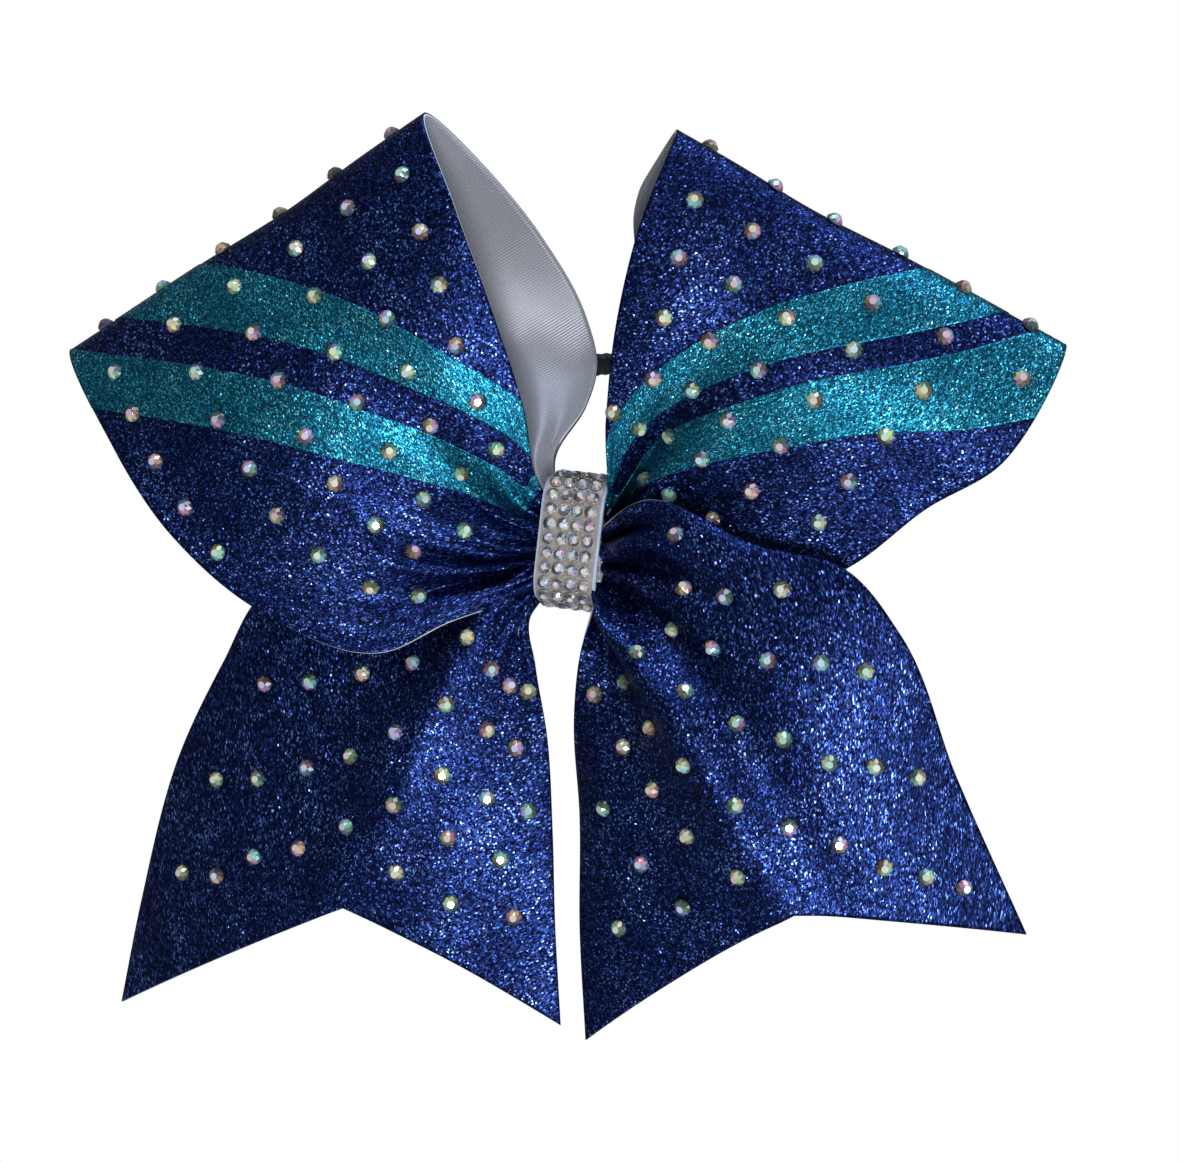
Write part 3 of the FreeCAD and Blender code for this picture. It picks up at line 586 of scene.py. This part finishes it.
def glitter(name, stops):
    """Film of metal flecks, each of its own colour. Most lie nearly flat and a few lean far."""
    nodes = Nodes(name)

    def lean(channel):
        spread = nodes.math("MULTIPLY_ADD", channel, 2.0, -1.0)
        square = nodes.math("MULTIPLY", spread, spread)
        fourth = nodes.math("MULTIPLY", square, square)
        far = nodes.math("MULTIPLY_ADD", fourth, 1 - FLECK_NEAR, FLECK_NEAR)
        return nodes.math("MULTIPLY_ADD", nodes.math("MULTIPLY", spread, far), FLECK_LEAN, 0.5)

    flat = nodes.add("ShaderNodeUVMap", uv_map="ribbon")
    cells = nodes.add("ShaderNodeTexVoronoi", {"Vector": flat.outputs[0], "Scale": 1 / FLECK,
                                               "Randomness": 1.0}, voronoi_dimensions="2D")
    parts = nodes.add("ShaderNodeSeparateColor", {"Color": cells.outputs["Color"]})
    cloud = nodes.add("ShaderNodeTexNoise", {"Vector": flat.outputs[0], "Scale": CLOUD_SCALE,
                                             "Detail": 2.0}, noise_dimensions="2D")
    drift = nodes.math("MULTIPLY_ADD", cloud.outputs[0], CLOUD_SHIFT, -CLOUD_SHIFT / 2)
    value = nodes.math("ADD", parts.outputs[0], drift)
    colour = nodes.ramp(value, stops)
    packed = nodes.add("ShaderNodeCombineColor", {"Red": lean(parts.outputs[1]),
                                                  "Green": lean(parts.outputs[2]), "Blue": 1.0})
    leaned = nodes.add("ShaderNodeNormalMap", {"Color": packed.outputs[0], "Strength": 1.0},
                       uv_map="ribbon")
    return nodes.surface(base_color=colour, metallic=0.9, roughness=FLECK_ROUGHNESS,
                         normal=leaned.outputs[0])


def navy_glitter():
    stops = [(0.0, (0.0015, 0.0035, 0.022, 1)), (0.55, (0.004, 0.010, 0.060, 1)),
             (0.82, (0.012, 0.034, 0.18, 1)), (0.94, (0.05, 0.11, 0.44, 1)),
             (1.0, (0.24, 0.38, 0.90, 1))]
    return glitter("navy_glitter", stops)


def teal_glitter():
    stops = [(0.0, (0.002, 0.035, 0.065, 1)), (0.50, (0.006, 0.11, 0.18, 1)),
             (0.80, (0.015, 0.26, 0.40, 1)), (0.94, (0.05, 0.55, 0.75, 1)),
             (1.0, (0.35, 0.95, 1.0, 1))]
    return glitter("teal_glitter", stops)


def grosgrain():
    """Silver-grey ribbon with fine ribs across it, painted shade in the grooves between them, and a
    satin shine.
    """
    nodes = Nodes("grosgrain")
    rib_pitch = 0.5
    rib_shade_share, thread_share, cloud_share = 0.45, 0.35, 0.25
    flat = nodes.add("ShaderNodeUVMap", uv_map="ribbon")
    axes = nodes.add("ShaderNodeSeparateXYZ", {"Vector": flat.outputs[0]})
    phase = nodes.math("MULTIPLY", axes.outputs[0], math.tau / rib_pitch)
    rib = nodes.math("MULTIPLY_ADD", nodes.math("SINE", phase), 0.5, 0.5)
    thread = nodes.add("ShaderNodeTexNoise", {"Vector": flat.outputs[0], "Scale": 2.2,
                                              "Detail": 4.0}, noise_dimensions="2D")
    cloud = nodes.add("ShaderNodeTexNoise", {"Vector": flat.outputs[0], "Scale": 0.05,
                                             "Detail": 3.0}, noise_dimensions="2D")
    # Painted shade: the colour follows the ribs' bump and is darker in their grooves; the threads and
    # clouds are the ribbon's own uneven tone.
    mixed = nodes.math("MULTIPLY", rib, rib_shade_share)
    mixed = nodes.math("MULTIPLY_ADD", thread.outputs[0], thread_share, mixed)
    mixed = nodes.math("MULTIPLY_ADD", cloud.outputs[0], cloud_share, mixed)
    colour = nodes.ramp(mixed, [(0.15, (0.24, 0.235, 0.26, 1)), (0.85, (0.50, 0.49, 0.52, 1))])
    bump = nodes.add("ShaderNodeBump", {"Height": rib, "Strength": 0.35, "Distance": 0.0001})
    return nodes.surface(base_color=colour, roughness=0.42, metallic=0.25, sheen_weight=0.4,
                         normal=bump.outputs[0])


def plain(name, colour, roughness, metallic=0.0, grain_mm=0.5, depth=0.15, variation=0.12):
    """Even material with a little grain and unevenness, in object space."""
    nodes = Nodes(name)
    place = nodes.add("ShaderNodeTexCoord")
    noise = nodes.add("ShaderNodeTexNoise", {"Vector": place.outputs["Object"],
                                             "Scale": 1 / (grain_mm * MM), "Detail": 4.0})
    dark = tuple(channel * (1 - variation) for channel in colour) + (1,)
    light = tuple(min(channel * (1 + variation), 1) for channel in colour) + (1,)
    shade = nodes.ramp(noise.outputs[0], [(0.3, dark), (0.7, light)])
    bump = nodes.add("ShaderNodeBump", {"Height": noise.outputs[0], "Strength": depth,
                                        "Distance": 0.0001})
    return nodes.surface(base_color=shade, roughness=roughness, metallic=metallic,
                         normal=bump.outputs[0])


def crystal(name, roughness):
    """Glass with a colour for each facet, which carries painted light, painted shade and a painted
    highlight.
    """
    nodes = Nodes(name)
    tint = nodes.add("ShaderNodeVertexColor", layer_name="facet")
    return nodes.surface(base_color=tint.outputs[0], metallic=0.2, roughness=roughness,
                         coat_weight=1.0, coat_roughness=0.03)


MATERIALS = {
    "navy_glitter": navy_glitter(),
    "teal_glitter": teal_glitter(),
    "grosgrain": grosgrain(),
    "cut_edge": plain("cut_edge", (0.78, 0.80, 0.83), 0.7, grain_mm=0.2),
    "crystal": crystal("crystal", 0.07),
    "knot_crystal": crystal("knot_crystal", 0.06),
    "satin_band": plain("satin_band", (0.50, 0.55, 0.66), 0.4, grain_mm=0.25, depth=0.3),
    "silver_mesh": plain("silver_mesh", (0.43, 0.39, 0.35), 0.4, metallic=0.5, grain_mm=0.3),
    "thread": plain("thread", (0.7, 0.7, 0.72), 0.6, grain_mm=0.2, depth=0.4),
    "glue": plain("glue", (0.72, 0.70, 0.64), 0.25, grain_mm=2.0, depth=0.3),
    "braided_elastic": plain("braided_elastic", (0.012, 0.012, 0.014), 0.6, grain_mm=0.15,
                             depth=0.5, variation=0.4),
    "crimp_metal": plain("crimp_metal", (0.55, 0.55, 0.57), 0.35, metallic=1.0, grain_mm=0.4),
    "pale_floor": plain("pale_floor", (0.80, 0.80, 0.80), 0.7, grain_mm=8.0, variation=0.02),
}


# ---------------------------------------------------------------- loops and tails


def loop_grid(rows=221, columns=113):
    place = np.linspace(0, 1, rows)
    side = np.linspace(-1, 1, columns)
    return np.broadcast_arrays(place[:, None], side[None, :])


def cut_place(fan, side, root, bow):
    """Place where a tail's line at this side meets the bowed cut from the notch's root to the tip."""
    line = fan.plain(fan.places, np.full(TABLE_PLACES, side))
    tip = fan.plain(np.array(1.0), np.array(np.sign(side) if side else 1.0))
    cut = np.array((tip[0], tip[2])) - root
    away = np.stack((line[:, 0], line[:, 2]), axis=-1) - root
    part = clamp(away @ cut / (cut @ cut))
    away[:, 1] -= 4 * bow * part * (1 - part)
    across = away[:, 0] * cut[1] - away[:, 1] * cut[0]
    across *= np.sign(across[0])
    near_pinch = TABLE_PLACES // 3
    beyond = np.nonzero(across[near_pinch:] <= 0)[0]
    if len(beyond) == 0:
        return 1.0
    index = beyond[0] + near_pinch
    part = across[index - 1] / (across[index - 1] - across[index])
    return fan.places[index - 1] + part * (fan.places[index] - fan.places[index - 1])


def tail_grid(fan, notch, rows=131, columns=113):
    """Grid whose last row follows the swallow-tail cut from tip to notch to tip."""
    sides = np.linspace(-1, 1, columns)
    root_point, bows = notch
    root = np.array(root_point) * MM
    ends = [cut_place(fan, side, root, bows[0 if side < 0 else 1] * MM) for side in sides]
    place = np.linspace(0, 1, rows)[:, None] * np.array(ends)[None, :]
    return place, np.broadcast_to(sides[None, :], place.shape), np.array(ends)


def stripe_grid(fan, sides, rows=37, columns=113):
    """Grid of a stripe, from its upper to its lower side and from edge to edge."""
    (top_outer, top_inner), (low_outer, low_inner) = sides
    across = np.linspace(0, 1, columns)
    place = np.zeros((rows, columns))
    for column, part in enumerate(across):
        side = 2 * part - 1
        top = top_outer + (top_inner - top_outer) * part
        low = low_outer + (low_inner - low_outer) * part
        crest = fan.crest_length(side)
        upper = max(crest - top, STRIPE_PINCH[0])
        lower = max(crest - low, STRIPE_PINCH[1])
        place[:, column] = fan.place_at(np.linspace(lower, upper, rows), side)
    side = np.broadcast_to((2 * across - 1)[None, :], place.shape)
    return place, side


# Pitch of stones in a row and of rows, which are staggered, then a stone's size.
STONE_PITCH = 12.4
STONE_ROW_PITCH = 10.0
STONE_RADIUS = 1.5
STONE_HEIGHT = 1.3
# How near to an edge and to the pinch a stone may sit, and half pitches tried to each side.
STONE_EDGE = 3.5
STONE_PINCH = 14.0
STONE_HALF_STEPS = 18
# Glued by hand: how far a stone strays from its seat.
STONE_SCATTER = 0.35
# Lines of stones lean across a loop: share of the distance from its crest that they move inwards.
STONE_DRIFT = {"left_loop": 0.55, "right_loop": 0.42, "left_tail": 0.0, "right_tail": 0.0}


def stone_seats(fan, ends=None):
    """Staggered seats along a fan, from the crest of a loop or the pinch of a tail."""
    half_width = RIBBON_WIDTH / 2
    rows = int(fan.lengths[-1].max() / STONE_ROW_PITCH) + 1
    seats = []
    for row in range(-rows, rows + 1):
        distance = row * STONE_ROW_PITCH
        for half_step in range(-STONE_HALF_STEPS, STONE_HALF_STEPS + 1):
            across = half_step * STONE_PITCH / 2 + STONE_DRIFT[fan.name] * abs(distance)
            if (half_step + row) % 2 == 0 or abs(across) > half_width - STONE_EDGE:
                continue
            side = (across + rng.normal(0, STONE_SCATTER)) / half_width
            length = distance + rng.normal(0, STONE_SCATTER)
            far = fan.whole_length(side) - STONE_PINCH
            if fan.is_loop:
                length += fan.crest_length(side)
            else:
                end = np.interp(side, np.linspace(-1, 1, len(ends)), ends)
                far = fan.length_at(end, np.array(side)) - STONE_EDGE
            if STONE_PINCH < length < far:
                place = fan.place_at(length, side)
                seats.append(fan.at(np.array(place), np.array(side), FILM))
    return seats


# Colours that the coated stones of the ribbon and the clear ones of the knot flash.
AB_PALETTE = [(1.0, 0.94, 0.70), (1.0, 0.82, 0.36), (1.0, 0.62, 0.46), (0.94, 0.44, 0.60),
              (0.66, 0.56, 0.96), (0.42, 0.84, 0.90), (0.42, 0.92, 0.56), (0.80, 0.98, 0.48)]
CLEAR_PALETTE = [(0.95, 0.92, 0.86), (1.0, 0.84, 0.62), (0.90, 0.55, 0.66), (0.55, 0.52, 0.85),
                 (0.60, 0.80, 0.84), (0.95, 0.93, 0.90)]


def attach(piece, node):
    """Puts a piece in the place of a CAD node, which it hides."""
    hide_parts(node)
    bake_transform(piece)


def ribbon_length(fan, ends=None):
    """Mean length of the ribbon, in metres, over its width."""
    sides = np.linspace(-1, 1, 21)
    lengths = [fan.whole_length(side) for side in sides]
    if ends is not None:
        row = np.interp(sides, np.linspace(-1, 1, len(ends)), ends)
        lengths = [fan.length_at(end, np.array(side)) for end, side in zip(row, sides)]
    return float(np.mean(lengths)) * MM


def build_length(name, rails, facing):
    """All that one loop or tail shows."""
    fan = Fan(name, rails, facing)
    ends = None
    if fan.is_loop:
        place, side = loop_grid()
    else:
        place, side, ends = tail_grid(fan, NOTCH[name])
    edge = MATERIALS["cut_edge"]
    backing = ribbon_sheet(f"{name}_ribbon", fan, place, side, -BACKING, 0.0,
                           MATERIALS["grosgrain"], edge)
    film = ribbon_sheet(f"{name}_film", fan, place, side, 0.0, FILM,
                        MATERIALS["navy_glitter"], MATERIALS["navy_glitter"])
    attach(backing, f"{name}_backing")
    attach(film, f"{name}_glitter")
    if fan.is_loop:
        for stripe, sides in STRIPES[name].items():
            grid = stripe_grid(fan, sides)
            piece = ribbon_sheet(f"{name}_{stripe}_film", fan, *grid, FILM - STRIPE_SINK,
                                 FILM + STRIPE, MATERIALS["teal_glitter"],
                                 MATERIALS["teal_glitter"])
            attach(piece, f"{name}_{stripe}")
    stones = crystals(f"{name}_crystals", stone_seats(fan, ends), STONE_RADIUS, STONE_HEIGHT,
                      AB_PALETTE, MATERIALS["crystal"])
    attach(stones, f"{name}_stones")
    flat = (RIBBON_WIDTH * MM, ribbon_length(fan, ends))


# ---------------------------------------------------------------- knot


KNOT_DEPTH, KNOT_HEIGHT = 18.7, 21.6
KNOT_CORNER = 5.0
KNOT_TILT = math.radians(6.5)
# Thickness of the mesh, and how far from the knot's back its ends stop.
MESH = 0.5
MESH_GAP = 2.5
KNOT_COLUMN_PITCH = 2.35
KNOT_ROW_PITCH = 2.57


def tilted(point):
    """Turns a point or direction with the knot, whose top leans to +X."""
    cos, sin = math.cos(KNOT_TILT), math.sin(KNOT_TILT)
    x, y, z = point
    return np.array((x * cos + z * sin, y, z * cos - x * sin))


def around_knot(distance):
    """Point on the mesh and its outward direction, this far round from the mesh's upper back end."""
    radius = KNOT_CORNER + MESH
    front = -KNOT_DEPTH - MESH
    top = KNOT_HEIGHT / 2 + MESH
    level = -MESH_GAP - (front + radius)
    corner = radius * math.pi / 2
    face = 2 * (top - radius)
    if distance < level:
        return np.array((0, -MESH_GAP - distance, top)), np.array((0, 0, 1))
    distance -= level
    if distance < corner:
        turn = distance / radius
        outward = np.array((0, -math.sin(turn), math.cos(turn)))
        return np.array((0, front + radius, top - radius)) + outward * radius, outward
    distance -= corner
    if distance < face:
        return np.array((0, front, top - radius - distance)), np.array((0, -1, 0))
    distance -= face
    if distance < corner:
        turn = distance / radius
        outward = np.array((0, -math.cos(turn), -math.sin(turn)))
        return np.array((0, front + radius, radius - top)) + outward * radius, outward
    distance -= corner
    return np.array((0, front + radius + distance, -top)), np.array((0, 0, -1))


def mesh_length():
    """Length round the knot from one back end of the mesh to the other."""
    radius = KNOT_CORNER + MESH
    level = KNOT_DEPTH + MESH - MESH_GAP - radius
    face = KNOT_HEIGHT + 2 * MESH - 2 * radius
    return 2 * level + face + math.pi * radius


def knot_seats():
    """Seats of the knot's stones, four columns of them, before the knot is tilted."""
    rows = int(mesh_length() / KNOT_ROW_PITCH)
    margin = (mesh_length() - (rows - 1) * KNOT_ROW_PITCH) / 2
    for row in range(rows):
        point, outward = around_knot(margin + row * KNOT_ROW_PITCH)
        for column in (-1.5, -0.5, 0.5, 1.5):
            yield point + np.array((column * KNOT_COLUMN_PITCH, 0, 0)), outward


def build_knot_stones():
    radius, height = 1.12, 0.85
    seats = [(tilted(point) * MM, tilted(outward)) for point, outward in knot_seats()]
    stones = crystals("knot_crystals", seats, radius, height, CLEAR_PALETTE,
                      MATERIALS["knot_crystal"], tilt=0.10)
    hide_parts("knot_stones")
    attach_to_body(stones, "root")


def build_cups():
    """Thin cup wall round each knot stone, and a bead beside each stone of the two middle columns."""
    vertices, faces = [], []
    around, tube = 14, 6
    cup_radius, cup_wall, cup_lift = 1.08, 0.14, 0.16
    bead_radius, bead_lift = 0.16, 0.14

    def add_ring(seat, axis, radius, wall, lift):
        start = len(vertices)
        turn = frame_on(axis, 0.0)
        for step in range(around):
            angle = math.tau * step / around
            for spoke in range(tube):
                lean = math.tau * spoke / tube
                reach = radius + wall * math.cos(lean)
                local = np.array((reach * math.cos(angle), reach * math.sin(angle),
                                  lift + wall * math.sin(lean)))
                vertices.append((turn @ local + seat) * MM)
        for step in range(around):
            for spoke in range(tube):
                after, beside = (step + 1) % around, (spoke + 1) % tube
                faces.append((start + step * tube + spoke, start + after * tube + spoke,
                              start + after * tube + beside, start + step * tube + beside))

    for point, outward in knot_seats():
        axis = tilted(outward)
        add_ring(tilted(point), axis, cup_radius, cup_wall, cup_lift)
        corner = point + np.array((KNOT_COLUMN_PITCH / 2, 0, 0))
        along = np.cross((1, 0, 0), outward)
        if abs(point[0]) < KNOT_COLUMN_PITCH:
            add_ring(tilted(corner + along * KNOT_ROW_PITCH / 2), axis, bead_radius, bead_radius,
                     bead_lift)
    cups = add_mesh("knot_cups", vertices, faces, materials=(MATERIALS["silver_mesh"],))
    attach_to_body(cups, "root")


def squared(value, power):
    """Sine or cosine drawn towards -1 and 1, which turns a circle into a rounded square."""
    return math.copysign(abs(value) ** power, value)


def build_gather():
    """Pinched middle of the ribbon: deep pleats running through the knot, nipped at the waist."""
    box_low, box_high = (np.array(corner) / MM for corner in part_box("ribbon_gather"))
    centre = (box_low + box_high) / 2
    half = (box_high - box_low) / 2
    rows, columns = 33, 160
    nip_depth, nip_reach = 0.10, 0.35
    pleats, pleat_depth = 22, 0.055
    column_width = 0.4
    vertices, uvs = [], []
    for row in range(rows):
        across = 2 * row / (rows - 1) - 1
        nip = 1 - nip_depth * math.exp(-(across / nip_reach) ** 2)
        for column in range(columns):
            angle = math.tau * column / columns
            pleat = 1 - pleat_depth * (1 + math.cos(angle * pleats))
            y = centre[1] + half[1] * squared(math.cos(angle), 0.5) * pleat * nip
            z = centre[2] + half[2] * squared(math.sin(angle), 0.5) * pleat * nip
            vertices.append(np.array((centre[0] + half[0] * across, y, z)) * MM)
            uvs.append((across * half[0], column * column_width))
    faces = []
    for row in range(rows - 1):
        for column in range(columns):
            after = (column + 1) % columns
            faces.append((row * columns + column, row * columns + after,
                          (row + 1) * columns + after, (row + 1) * columns + column))
    faces.append(tuple(reversed(range(columns))))
    faces.append(tuple((rows - 1) * columns + column for column in range(columns)))
    gather = add_mesh("pleated_gather", vertices, faces, uvs, materials=(MATERIALS["grosgrain"],))
    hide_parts("ribbon_gather")
    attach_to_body(gather, "root")


# ---------------------------------------------------------------- hair elastic


# Inner radius of the ring, then the section of its braid, and how far up the ring leans.
ELASTIC_RADIUS = 19.0
ELASTIC_WIDTH = 5.0
ELASTIC_THICK = 2.4
ELASTIC_RISE = math.radians(56.0)
TUNNEL = np.array((0.0, -5.1, 0.0))


def build_elastic():
    """Flat braid closed into a ring: two rows of plaits lean against each other round it."""
    around, section = 720, 48
    middle = ELASTIC_RADIUS + ELASTIC_THICK / 2
    reach = np.array((0.0, math.cos(ELASTIC_RISE), math.sin(ELASTIC_RISE)))
    axis = np.array((0.0, math.sin(ELASTIC_RISE), -math.cos(ELASTIC_RISE)))
    aside = np.array((1.0, 0.0, 0.0))
    centre = TUNNEL + reach * middle
    vertices, faces, uvs = [], [], []
    plaits, plait_lean = 74, 5.0
    face_ridge, side_ridge = 0.12, 0.05
    spoke_width = 0.3
    for step in range(around):
        turn = math.tau * step / around
        radial = -reach * math.cos(turn) + aside * math.sin(turn)
        for spoke in range(section):
            angle = math.tau * spoke / section
            wide, thick = squared(math.sin(angle), 0.6), squared(math.cos(angle), 0.6)
            lean = plait_lean * abs(wide) * math.copysign(1, thick)
            plait = 0.5 + 0.5 * math.cos(turn * plaits + lean)
            half_thick = ELASTIC_THICK / 2 * (1 - face_ridge * (1 - plait))
            half_width = ELASTIC_WIDTH / 2 * (1 - side_ridge * (1 - plait))
            point = centre + radial * (middle + thick * half_thick) + axis * wide * half_width
            vertices.append(point * MM)
            uvs.append((turn * middle, spoke * spoke_width))
    for step in range(around):
        after = (step + 1) % around
        for spoke in range(section):
            beside = (spoke + 1) % section
            faces.append((step * section + spoke, step * section + beside,
                          after * section + beside, after * section + spoke))
    elastic = add_mesh("braided_ring", vertices, faces, uvs,
                       materials=(MATERIALS["braided_elastic"],))
    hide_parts("hair_elastic")
    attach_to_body(elastic, "elastic")


# ---------------------------------------------------------------- stage, light and camera


def finish_cad_nodes():
    finishes = {"cinch_tie": "thread", "glue_pad": "glue", "knot_band": "satin_band",
                "knot_stone_mesh": "silver_mesh", "elastic_joiner": "crimp_metal"}
    for node, material in finishes.items():
        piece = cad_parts[node]
        piece.data.materials.clear()
        piece.data.materials.append(MATERIALS[material])


# Each light: place, size, power and colour.
LIGHTS = {
    "key": ((0.24, -0.86, -0.30), (0.22, 0.22), 6.2, (0.88, 0.94, 1.0)),
    "window": ((0.80, -0.55, -0.32), (0.35, 0.35), 2.6, (0.76, 0.87, 1.0)),
    "sky": ((0.25, -0.35, 0.90), (0.7, 0.6), 5.5, (0.66, 0.78, 1.0)),
}
LIGHT_TARGET = (0.0, 0.0, -0.01)
# Strength of the white world as a light, and as the camera sees it.
WORLD_LIGHT, WORLD_SEEN = 0.20, 1.0


def add_area(name, place, size, power, colour):
    data = bpy.data.lights.new(name, "AREA")
    data.shape = "RECTANGLE"
    data.size, data.size_y = size
    data.energy = power
    data.color = colour
    light = bpy.data.objects.new(name, data)
    light.location = place
    direction = Vector(LIGHT_TARGET) - Vector(place)
    light.rotation_euler = direction.to_track_quat("-Z", "Y").to_euler()
    bpy.context.scene.collection.objects.link(light)


def build_world():
    """White where the camera sees it, and dim as a light."""
    world = bpy.data.worlds.new("white_room")
    world.use_nodes = True
    tree = world.node_tree
    ray = tree.nodes.new("ShaderNodeLightPath")
    strength = tree.nodes.new("ShaderNodeMapRange")
    strength.inputs["To Min"].default_value = WORLD_LIGHT
    strength.inputs["To Max"].default_value = WORLD_SEEN
    tree.links.new(ray.outputs["Is Camera Ray"], strength.inputs["Value"])
    tree.links.new(strength.outputs[0], tree.nodes["Background"].inputs[1])
    tree.nodes["Background"].inputs[0].default_value = (1, 1, 1, 1)
    bpy.context.scene.world = world


def build_floor():
    """Plain pale floor, a disc well below the bow."""
    rings, spokes, radius, level = 12, 64, 0.72, -0.30
    vertices = [(0.0, 0.0, level)]
    for ring in range(1, rings + 1):
        reach = radius * ring / rings
        for spoke in range(spokes):
            angle = math.tau * spoke / spokes
            vertices.append((reach * math.cos(angle), reach * math.sin(angle), level))
    faces = [(0, 1 + spoke, 1 + (spoke + 1) % spokes) for spoke in range(spokes)]
    for ring in range(rings - 1):
        start = 1 + ring * spokes
        for spoke in range(spokes):
            after = (spoke + 1) % spokes
            faces.append((start + spoke, start + spokes + spoke, start + spokes + after,
                          start + after))
    floor = add_mesh("pale_floor", vertices, faces, materials=(MATERIALS["pale_floor"],))


def build_lights():
    for name, light in LIGHTS.items():
        add_area(name, *light)
    bpy.context.scene.view_settings.view_transform = "Standard"


def build_camera():
    """Looks at the front of the bow from a little towards +X, level with the knot."""
    azimuth = math.radians(12.0)
    distance = 0.45
    view_width = 0.207
    target = Vector((0.00236, -0.012, -0.00708))
    data = bpy.data.cameras.new("camera")
    data.sensor_fit = "HORIZONTAL"
    data.sensor_width = 36.0
    data.lens = data.sensor_width * distance / view_width
    data.clip_start = 0.01
    camera = bpy.data.objects.new("camera", data)
    camera.location = target + Vector((math.sin(azimuth), -math.cos(azimuth), 0)) * distance
    camera.rotation_euler = (target - camera.location).to_track_quat("-Z", "Y").to_euler()
    bpy.context.scene.collection.objects.link(camera)
    bpy.context.scene.camera = camera


build_camera()
build_lights()
build_world()
build_floor()
finish_cad_nodes()
build_gather()
build_cups()
build_knot_stones()
build_elastic()
build_length("left_loop", LEFT_LOOP, -1)
build_length("right_loop", RIGHT_LOOP, 1)
build_length("left_tail", LEFT_TAIL, 1)
build_length("right_tail", RIGHT_TAIL, -1)
